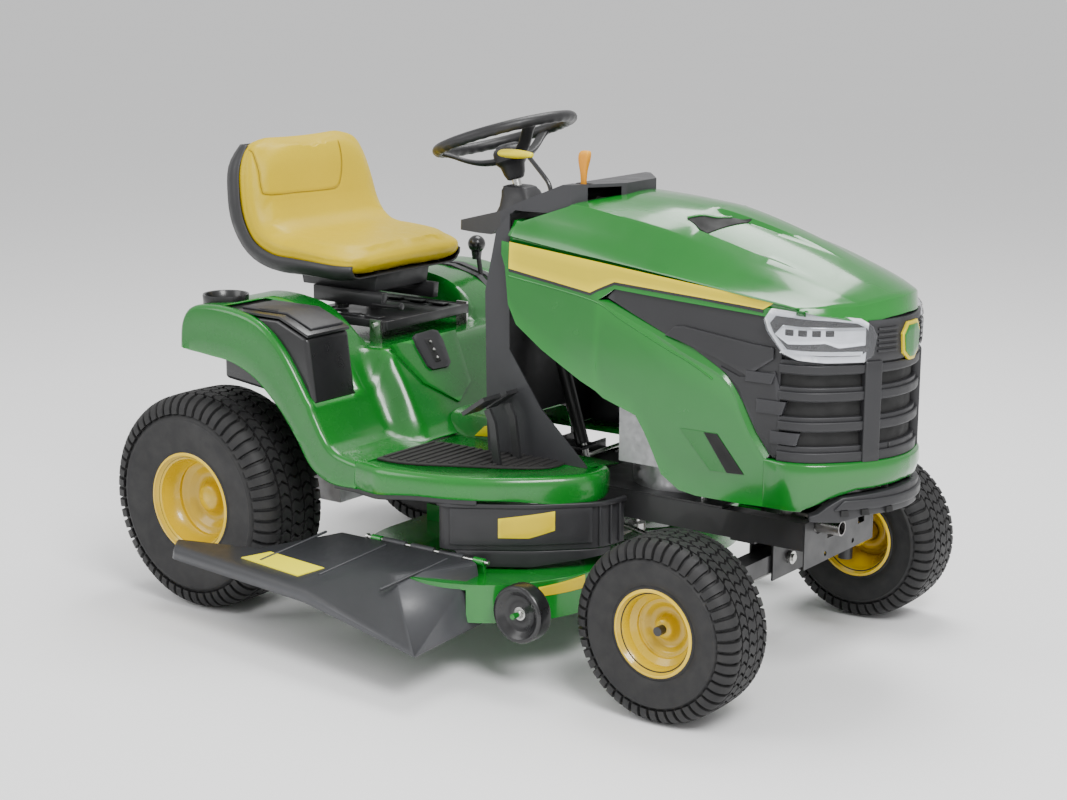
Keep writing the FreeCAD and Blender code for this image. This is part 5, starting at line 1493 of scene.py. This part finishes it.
def footrests():
    """The rolled rims of the footrests, their floors, and the black trim beneath."""
    shape = Shape()
    trim = Shape()
    for side in (-1, 1):
        path = smooth_path([(x, side * y, 0) for x, y in FOOTREST_EDGE], 8)
        rows = []
        under = []
        for i, point in enumerate(path):
            ahead = path[min(i + 1, len(path) - 1)]
            behind = path[max(i - 1, 0)]
            along = (ahead - behind).normalized()
            out = Vector((along.y, -along.x, 0)) * (-side)
            drop = 54 - 12 * eased((point.x - 500) / 150) * (1 - eased((point.x - 800) / 120))
            section = [
                (-46, 0), (-28, 0), (-24, 5), (-14, 7), (-7, 5), (-2, 0), (0, -8), (0, -drop + 6),
                (-3, -drop), (-12, -drop),
            ]
            rows.append([tuple(point + out * n + Vector((0, 0, FLOOR_Z + dz))) for n, dz in section])
            under.append([tuple(point + out * n + Vector((0, 0, FLOOR_Z - drop + dz))) for n, dz in (
                (-4, 2), (-4, -11), (-14, -13), (-14, 2),
            )])
        shape.rows(rows)
        rear = [[(x - 64, y, z) for x, y, z in under[0]]]
        trim.rows(rear + [row for row in under if row[0][0] < 760], around=True, caps=True)
        floor = [(p.x, p.y) for p in (Vector(row[0]) for row in rows)]
        floor = floor + [(905, side * 112), (560, side * 108), (455, side * 108)]
        corners = [Vector((x, y, FLOOR_Z)) for x, y in floor]
        faces = [tuple(chunk) for chunk in geometry.tessellate_polygon([corners])]
        shape.add([tuple(corner) for corner in corners], faces)
    made = piece("footrest_skin", shape, GREEN_FENDER, "chassis", angle=38)
    thickened(made, 2.5)
    piece("footrest_trim", trim, TRIM, "chassis", angle=40, bevel=1.5)


def tunnel():
    """The raised spine between the footrests."""
    shape = Shape()
    rows = []
    for x in (440, 480, 520, 560, 600, 612):
        row = []
        for y, z in (
            (-122, 403), (-114, 430), (-104, 450), (-90, 456), (0, 458), (90, 456), (104, 450), (114, 430),
            (122, 403),
        ):
            row.append((x, y, z))
        rows.append(row)
    shape.rows(rows)
    piece("tunnel_cover", shape, GREEN_FENDER, "chassis", angle=30)
    labels = Shape()
    labels.prism([(520, 410), (596, 418), (596, 446), (548, 436)], "y", -124, -118)
    piece("tunnel_label", labels, LABEL, "chassis", angle=30, bevel=0.5)


RISER_TOP_X = 342
RISER_DROP = 196
RISER_RUN = 118


def riser(u, v, out):
    """The sloping front of the seat pedestal: u down the slope, v sideways, out of its face."""
    slope = math.atan2(RISER_DROP, RISER_RUN)
    x = RISER_TOP_X + u * math.cos(slope) + out * math.sin(slope)
    z = SEAT_DECK_Z - u * math.sin(slope) + out * math.cos(slope)
    return x, v, z


def fender_details():
    """The raised panel on the seat pedestal, and the black bezel with its slot and contacts; the slot is a
    near-black patch of painted shade.
    """
    panel = Shape().slab(
        riser, [(-8, -196), (-8, 34), (120, 8), (160, -60), (96, -150), (20, -192)], 4, -6, 8, 10,
    )
    piece("pedestal_panel", panel, GREEN_FENDER, "chassis", angle=30, bevel=3, segments=3)
    bezel = Shape()
    outline = [
        (-18, -112), (-12, -122), (10, -124), (62, -116), (72, -106), (74, -52), (66, -38), (10, -30),
        (-14, -34), (-20, -50),
    ]
    bezel.slab(riser, outline, 10, 2, 6, 8)
    piece("slot_bezel", bezel, TRIM, "chassis", angle=30, bevel=3, segments=3)
    # Painted shade: a near-black patch on the bezel where the slot is.
    slot = Shape().slab(riser, [(-2, -92), (58, -88), (58, -68), (-2, -70)], 11.5, 8, 6, 3)
    piece("slot_opening", slot, SHADE_AND_EMITTER_BLACK, "chassis", angle=30, bevel=2)
    pins = Shape()
    for k in range(3):
        foot = Vector(riser(8 + 20 * k, -79, 11))
        tip = Vector(riser(8 + 20 * k, -79, 15))
        pins.tube([foot, tip], 3.4, 12)
    piece("slot_contacts", pins, ZINC, "chassis", angle=50, bevel=0.6)


# ---------------------------------------------------------------- storage box


def hollowed(thing, room):
    """Cuts a shape out of an object and bakes the result."""
    cutter = piece("cutter", room, TRIM, "chassis")
    cutting = thing.modifiers.new("room", "BOOLEAN")
    cutting.object = cutter
    cutting.operation = "DIFFERENCE"
    baked(thing)
    bpy.data.objects.remove(cutter)


def storage():
    """The bin's rounded walls, a lid with a raised plate, and the cup holder behind it."""
    walls = Shape().prism([(62, 540), (62, 690), (232, 690), (314, 657), (333, 512)], "y", -450, -311)
    made = piece("bin_walls", walls, BIN_BLACK, "chassis", ("storage_box",), 30, 10, 5)
    hollowed(made, Shape().prism([(67, 554), (67, 720), (240, 720), (307, 652), (323, 541)], "y", -444, -317))
    lid = Shape()
    line = [(64, 692), (100, 693), (232, 693), (262, 682), (316, 660)]
    outline = [(x, z + 6) for x, z in line] + [(x, z) for x, z in reversed(line)]
    lid.prism(outline, "y", -449, -312)
    piece("bin_lid", lid, BIN_BLACK, "storage_cover", ("storage_lid",), 30, 2.5, 3)
    plate = Shape()
    line = [(96, 699), (232, 699), (262, 688), (304, 671)]
    outline = [(x, z + 5) for x, z in line] + [(x, z - 1) for x, z in reversed(line)]
    plate.prism(outline, "y", -424, -318)
    piece("bin_lid_plate", plate, TRIM, "storage_cover", angle=30, bevel=2.5, segments=3)
    # Painted shade: a near-black patch on the lid where the finger scoop is.
    scoop = Shape().prism([(150, -424), (205, -424), (196, -408), (159, -408)], "z", 703, 704.6)
    piece("bin_finger_scoop", scoop, SHADE_AND_EMITTER_BLACK, "storage_cover", angle=30, bevel=0.5)
    cup = Shape()
    profile = [
        (1, 624),
        (40, 624),
        (44, 640),
        (52, 676),
        (52, 704),
        (53, 713),
        (52, 717),
        (48, 716),
        (45, 710),
        (42, 700),
        (38, 632),
        (1, 630),
    ]
    cup.lathe(profile, (4, -380, 0), "z", 64)
    piece("cup_holder", cup, BIN_BLACK, "chassis", angle=40)
    bridge = Shape().prism([(18, 676), (18, 705), (66, 697), (66, 676)], "y", -448, -313)
    piece("cup_bridge", bridge, BIN_BLACK, "chassis", angle=30, bevel=5, segments=3)


# ---------------------------------------------------------------- steering


COLUMN_TILT = 18
WHEEL_CENTRE = (512, 0, 1079)
RING_RADIUS = 153.5
GRIP_RADIUS = 13.6
GRIP_RIBS = 36


def steering():
    """A ribbed grip ring, three dished spokes and a deep hub, and the folded boot below."""
    tilt = math.radians(COLUMN_TILT)
    centre = Vector(WHEEL_CENTRE)
    axis = Vector((-math.sin(tilt), 0, math.cos(tilt)))
    ahead = Vector((math.cos(tilt), 0, math.sin(tilt)))
    left = Vector((0, 1, 0))

    def local(radius, turn, height):
        flat = (ahead * math.cos(turn) + left * math.sin(turn)) * radius
        return tuple(centre + flat + axis * height)

    ring = Shape()
    rows = []
    for i in range(180):
        turn = 2 * math.pi * i / 180
        grip = 1.1 * abs(math.sin(turn * GRIP_RIBS / 2))
        row = []
        for j in range(16):
            a = 2 * math.pi * j / 16
            swell = GRIP_RADIUS - (grip if math.sin(a) < 0 else 0)
            row.append(local(RING_RADIUS + swell * math.cos(a), turn, swell * 0.95 * math.sin(a)))
        rows.append(row)
    ring.rows(rows, around=True, along=True)
    piece("wheel_ring", ring, GRIP, "steering", ("steering_wheel",), angle=50)
    spokes = Shape()
    for angle in (90, 210, 330):
        turn = math.radians(angle)
        middle = ahead * math.cos(turn) + left * math.sin(turn)
        across = axis.cross(middle)
        rows = []
        for radius, height, width, thick in spoke_stations():
            spot = centre + middle * radius + axis * height
            section = [
                (-1, -0.2), (-0.8, 0.5), (0, 0.75), (0.8, 0.5), (1, -0.2), (0.55, -1), (0, -0.8),
                (-0.55, -1),
            ]
            rows.append([tuple(spot + across * width * u + axis * thick * v) for u, v in section])
        spokes.rows(rows, around=True, caps=True)
    piece("wheel_spokes", spokes, GRIP, "steering", angle=45, bevel=1.5)
    hub = Shape()
    profile = [
        (1, -26), (24, -27), (33, -31), (37, -38), (38, -60), (33, -66), (28, -72), (24, -90), (19, -101),
        (14, -103), (1, -103),
    ]
    rows = [[local(r, 2 * math.pi * i / 64, h) for i in range(64)] for r, h in profile]
    hub.rows(rows, around=True, caps=True)
    piece("wheel_hub", hub, GRIP, "steering", angle=40)
    cap = Shape()
    profile = [(1, -21), (20, -22), (27, -25), (29, -29), (29, -33), (1, -33)]
    rows = [[local(r, 2 * math.pi * i / 64, h) for i in range(64)] for r, h in profile]
    cap.rows(rows, around=True, caps=True)
    piece("wheel_cap", cap, TRIM, "steering", angle=40)
    boot = Shape()
    rows = []
    for x, z, half_x, half_y in (
        (573, 899, 66, 56),
        (572, 908, 60, 50),
        (568, 922, 50, 43),
        (562, 944, 42, 36),
        (557, 958, 38, 33),
        (556, 962, 34, 30),
        (554, 966, 33, 29),
        (553, 969, 24, 22),
    ):
        rows.append([(x + u, v, z) for u, v in oval(half_x, half_y, 0.45, 32)])
    boot.rows(rows, around=True, caps=True)
    piece("column_boot", boot, TRIM, "chassis", angle=30, bevel=1.5)


def spoke_stations():
    """(radius, height, half-width, half-thickness) along a spoke."""
    stations = [
        (18, -54, 21, 9), (40, -53, 21, 9), (70, -47, 19, 8), (100, -34, 17, 7), (128, -16, 16, 7),
        (150, -4, 19, 7),
    ]
    first = smooth_path([s[:3] for s in stations], 4)
    second = smooth_path([(s[3], 0, 0) for s in stations], 4)
    return [(a.x, a.y, a.z, b.x) for a, b in zip(first, second)]


# ---------------------------------------------------------------- mower deck


CHUTE_WALL = 4
CHUTE_SLOPE = 0.2795
CHUTE_INNER = (-442, 236)


def chute_height(y):
    """The top of the chute's sloping lid at a sideways distance."""
    return CHUTE_INNER[1] + CHUTE_SLOPE * (y - CHUTE_INNER[0])


def chute():
    """The discharge chute: a sloping lid, a broad front facet and a turned-down outer lip."""
    corners = {
        "inner_rear": (400, -442, 236),
        "notch": (262, -560, chute_height(-560)),
        "heel": (42, -596, chute_height(-596)),
        "tip": (60, -624, chute_height(-622) - 3),
        "ridge_out": (480, -656, 174),
        "ridge_mid": (628, -545, 208),
        "ridge_in": (772, -442, 238),
        "front_low": (796, -442, 112),
        "front_out": (798, -694, 122),
        "outer_low": (488, -664, 150),
        "tip_low": (58, -628, 158),
        "heel_low": (38, -598, 166),
    }
    names = list(corners)
    index = {name: i for i, name in enumerate(names)}
    faces = [
        ("inner_rear", "notch", "ridge_mid", "ridge_in"),
        ("notch", "heel", "tip", "ridge_out", "ridge_mid"),
        ("ridge_in", "ridge_mid", "front_out", "front_low"),
        ("ridge_mid", "ridge_out", "front_out"),
        ("ridge_out", "outer_low", "front_out"),
        ("ridge_out", "tip", "tip_low", "outer_low"),
        ("tip", "heel", "heel_low", "tip_low"),
    ]
    shape = Shape().add([corners[name] for name in names], [tuple(index[n] for n in face) for face in faces])
    made = piece(
        "chute_skin", shape, CHUTE, "deflector", ("chute",), angle=12, bevel=9, segments=4,
    )
    thickened(made, CHUTE_WALL)
    ribs = Shape()
    for x in (300, 470, 640):
        low = chute_height(-600) + 3
        high = chute_height(-452) + 3
        ribs.block([(x, -600, low), (x + 60, -452, high), (x + 66, -452, high), (x + 6, -600, low)], 5)
    piece("chute_ribs", ribs, CHUTE, "deflector", angle=30, bevel=1.5)
    barrels = Shape()
    for start in (512, 590, 668):
        barrels.lathe(
            [(7.5, start), (7.5, start + 62), (4.2, start + 62), (4.2, start)], (0, -432, 236), "x", 32,
        )
    piece("chute_hinge", barrels, CHUTE, "deflector", angle=40, bevel=1)
    spots = [(252, -606), (300, -564), (466, -575), (430, -620)]
    label = Shape().block([(x, y, chute_height(y) + 1.2) for x, y in spots], 3.2)
    piece("chute_label", label, LABEL, "deflector", angle=30)


SKIRT_WALL = [
    (672, -438), (700, -440), (770, -396), (845, -345), (892, -300), (930, -262), (952, -222), (960, -160),
]


def skirt_point(s, z, out):
    """The belt skirt's outer face: s along it from its rear end."""
    travelled = 0.0
    for first, second in zip(SKIRT_CURVE, SKIRT_CURVE[1:]):
        length = (second - first).length
        if s <= travelled + length or second is SKIRT_CURVE[-1]:
            along = (second - first).normalized()
            flat = first + along * (s - travelled)
            return flat.x + along.y * out, flat.y - along.x * out, z
        travelled += length


SKIRT_CURVE = smooth_path([(x, y, 0) for x, y in SKIRT_WALL], 6)


def belt_skirt():
    """The black skirt under the right footrest: stepped panels, a raised border and a blank label."""
    shape = Shape()
    shape.slab(skirt_point, [(0, 250), (0, 352), (420, 352), (420, 252)], 2, -3, 10, 4)
    shape.slab(skirt_point, [(30, 262), (30, 344), (330, 348), (330, 266)], 7, 1, 10, 4)
    shape.slab(skirt_point, [(0, 344), (0, 354), (420, 354), (420, 344)], 10, 0, 10, 2)
    for s in (345, 372, 399):
        shape.slab(skirt_point, [(s, 256), (s, 346), (s + 5, 346), (s + 5, 256)], 7, 0, 5, 2)
    piece("belt_skirt_panel", shape, TRIM, "chassis", ("belt_skirt",), angle=30, bevel=2)
    low = Shape().slab(skirt_point, [(60, 214), (40, 250), (380, 250), (372, 236), (200, 214)], 1, -4, 10, 4)
    piece("belt_skirt_lower", low, TRIM, "chassis", angle=30, bevel=2)
    label = Shape().slab(
        skirt_point, [(132, 280), (132, 322), (250, 338), (250, 296), (196, 280)], 8.6, 6, 8, 3,
    )
    piece("belt_skirt_label", label, LABEL, "chassis", angle=30, bevel=0.5)


DECK_X = 670
DECK_TOP = 208
LOBE_Y = 257
LOBE_RADIUS = 279


def deck_details():
    """A bead round the deck's top, clear of the chute, and a blank label on its front."""

    def wall(turn, z, out):
        a = math.radians(turn)
        radius = LOBE_RADIUS + out
        return DECK_X + radius * math.cos(a), -LOBE_Y + radius * math.sin(a), z

    label = Shape().slab(wall, [(-32, 178), (-32, 198), (-8, 206), (-8, 178)], 2, 0, 2, 3)
    piece("deck_label", label, LABEL, "deck", angle=30, bevel=0.4)
    seam = Shape()
    for side in (-1, 1):
        path = []
        for turn in range(-88, 89, 4):
            a = math.radians(turn)
            path.append((DECK_X + 277 * math.cos(a), side * LOBE_Y + 277 * math.sin(a), DECK_TOP))
        seam.tube([p for p in path if side * p[1] > 20 and p[1] > -420], 3, 8)
    piece("deck_seam", seam, GREEN, "deck", angle=60)


def mats():
    """Ribbed rubber mats with rounded corners."""
    shape = Shape()
    for side in (-1, 1):
        outline = [
            (478, 236), (490, 215), (560, 208), (645, 210), (780, 150), (818, 168), (822, 246), (760, 300),
            (655, 356), (560, 404), (490, 412), (474, 392),
        ]
        points = [(p.x, p.y * side) for p in smooth_path([(x, y, 0) for x, y in outline], 4, closed=True)]
        shape.prism(points, "z", FLOOR_Z + 0.5, FLOOR_Z + 5)
        for k in range(16):
            x = 486 + 21 * k
            near = linear(x, [(478, 236), (490, 222), (560, 216), (645, 218), (780, 168), (822, 180)])
            far = linear(x, [(478, 385), (490, 402), (560, 394), (655, 346), (760, 290), (822, 236)])
            if far - near > 30:
                shape.prism(
                    [(x - 4, side * near), (x + 4, side * near), (x + 4, side * far), (x - 4, side * far)],
                    "z", FLOOR_Z + 4, FLOOR_Z + 8,
                )
    piece("footrest_mats", shape, MAT, "chassis", ("foot_mats",), angle=30, bevel=1.2)


GAUGE_X = 923
GAUGE_Y = 484
GAUGE_Z = 167


def gauge_wheels():
    """Dished black wheels with a bright hexagon bolt."""
    profile = [
        (8, 8),
        (26, 7),
        (38, 9),
        (45, 16),
        (52, 21),
        (57, 21),
        (60.5, 17),
        (61, 10),
        (61, -10),
        (60.5, -17),
        (57, -21),
        (30, -21),
        (8, -20),
    ]
    for side, name in ((-1, "right"), (1, "left")):
        centre = (GAUGE_X, side * GAUGE_Y, GAUGE_Z)
        body = "gauge_" + name
        wheel = Shape().lathe(profile, centre, "y", 72, out=side)
        piece(
            "gauge_wheel_skin_" + name, wheel, BIN_BLACK, body, ("gauge_wheel_" + name,),
            30, 1,
        )
        bolt = Shape().lathe([(0.5, 8), (9, 8), (9, 14), (7.5, 16), (0.5, 16)], centre, "y", 6, out=side)
        piece("gauge_bolt_" + name, bolt, ZINC, body, angle=30, bevel=0.8)
        washer = Shape().lathe([(8, 7), (14, 7), (14, 9.5), (8, 9.5)], centre, "y", 40, out=side)
        piece("gauge_washer_" + name, washer, ZINC, body, angle=30, bevel=0.4)


def control_grips():
    """The bent rod of the blade control with its yellow paddle, and the orange throttle paddle."""
    rod = Shape()
    path = smooth_path(
        [(731, -125, 930), (731, -125, 965), (727, -125, 990), (712, -125, 1010), (668, -125, 1052)], 8,
    )
    rod.tube(path, 5, 14)
    piece("blade_control_rod", rod, GLOSS_BLACK, "blade_control", ("pto_lever",), angle=60)
    paddle = Shape()
    rows = []
    for x, half, thick in (
        (592, 6, 3), (595, 13, 7), (604, 17.5, 9), (622, 19, 10), (644, 17, 10), (664, 12, 8), (678, 8, 6),
        (682, 5, 4),
    ):
        rows.append([(x, -125 + u, 1053 + v) for u, v in oval(half, thick, 1, 24)])
    paddle.rows(rows, around=True, caps=True)
    piece("blade_control_paddle", paddle, YELLOW_GRIP, "blade_control", angle=50, subdivide=1)
    blade = Shape()
    rows = []
    for x, z, half_x, half_y in (
        (806, 956, 6, 4),
        (808, 990, 6, 4),
        (808, 1020, 7, 5),
        (808, 1036, 10, 8),
        (809, 1052, 14, 10),
        (811, 1066, 14, 10),
        (813, 1071, 9, 7),
    ):
        rows.append([(x + u, -114 + v, z) for u, v in oval(half_x, half_y, 0.7, 20)])
    blade.rows(rows, around=True, caps=True)
    piece(
        "throttle_paddle", blade, ORANGE, "throttle_control", ("throttle_lever",), 50,
        subdivide=1,
    )


LIFT_KNOB = (163, 345, 762)


def lift_knob():
    """A black ball and collar on the deck lift lever."""
    ball = Shape()
    rows = []
    for k in range(25):
        a = -math.pi / 2 + math.pi * k / 24
        rows.append((max(0.4, 22 * math.cos(a)), 22 * math.sin(a)))
    ball.lathe(rows, LIFT_KNOB, "z", 48)
    ball.lathe([(1, -38), (11, -38), (12, -30), (14, -18), (1, -14)], LIFT_KNOB, "z", 32)
    piece("lift_knob", ball, BIN_BLACK, "deck_control", angle=60)
    nodes["lift_lever"].data.materials[0] = FRAME_BLACK


SOFTENED = (
    "console",
    "dash_panel",
    "seat_pan",
    "steering_column",
    "forward_pedal",
    "reverse_pedal",
    "brake_pedal",
    "deck_shell",
    "deck_covers",
    "main_frame",
    "front_axle",
    "lift_quadrant",
)


def soften_nodes():
    """Rounds the edges of the CAD nodes that stay in view."""
    for name in SOFTENED:
        rounding = nodes[name].modifiers.new("rounding", "BEVEL")
        rounding.width = 2.2 * MM if name in ("console", "dash_panel") else 1.2 * MM
        rounding.segments = 3
        rounding.limit_method = "ANGLE"
        rounding.angle_limit = math.radians(40)


# ---------------------------------------------------------------- scene


FLOOR_REACH = 80


def studio():
    """A pale floor, a soft sky and three broad lamps."""
    scene = bpy.context.scene
    world = bpy.data.worlds.new("studio")
    world.use_nodes = True
    world.node_tree.nodes["Background"].inputs["Color"].default_value = (1, 1, 1, 1)
    world.node_tree.nodes["Background"].inputs["Strength"].default_value = 0.85
    scene.world = world
    floor_mesh = bpy.data.meshes.new("floor")
    half = FLOOR_REACH
    corners = [(-half, -half, 0), (half, -half, 0), (half, half, 0), (-half, half, 0)]
    floor_mesh.from_pydata(corners, [], [(0, 1, 2, 3)])
    floor_made, tree, surface, place = shader("floor_paint", (0.94, 0.94, 0.94), 0.7, specular=0.2)
    tone = mixed(tree, noise_of(tree, place, 0.8, 3), (0.93, 0.93, 0.935), (0.95, 0.95, 0.95))
    tree.links.new(tone, surface.inputs["Base Color"])
    floor_mesh.materials.append(floor_made)
    floor = bpy.data.objects.new("floor", floor_mesh)
    scene.collection.objects.link(floor)
    middle = at(640, 0, 500)
    for name, place, size, power in (
        ("key", (3.2, -2.2, 3.6), 1.9, 250),
        ("fill", (-2.6, -3.6, 2.6), 2.6, 70),
        ("crown", (-0.3, 1.6, 4.2), 2.2, 150),
    ):
        lamp = bpy.data.lights.new(name, "AREA")
        lamp.size = size
        lamp.energy = power
        lit = bpy.data.objects.new(name, lamp)
        lit.location = middle + Vector(place)
        lit.rotation_euler = (-Vector(place)).to_track_quat("-Z", "Y").to_euler()
        scene.collection.objects.link(lit)


def camera():
    """Stands at the front right corner, a little above the hood."""
    azimuth, elevation, roll = (math.radians(angle) for angle in (36.37, 12.94, 0.21))
    backward = Vector(
        (
            math.sin(azimuth) * math.cos(elevation),
            -math.cos(azimuth) * math.cos(elevation),
            math.sin(elevation),
        )
    )
    level = Vector((math.cos(azimuth), math.sin(azimuth), 0))
    upright = backward.cross(level)
    right = math.cos(roll) * level + math.sin(roll) * upright
    up = math.cos(roll) * upright - math.sin(roll) * level
    lens = bpy.data.cameras.new("camera")
    lens.lens = 69.69
    lens.sensor_width = 36
    lens.shift_x = 0.0034
    lens.shift_y = 0.0126
    seen = bpy.data.objects.new("camera", lens)
    turned = Matrix((right, up, backward)).transposed().to_4x4()
    turned.translation = Vector((2.6737, -3.6269, 1.5057))
    seen.matrix_world = turned
    bpy.context.scene.collection.objects.link(seen)
    bpy.context.scene.camera = seen


dress_nodes()
wheels()
hood()
seat()
fenders()
storage()
steering()
chute()
belt_skirt()
deck_details()
mats()
gauge_wheels()
control_grips()
lift_knob()
soften_nodes()
studio()
camera()
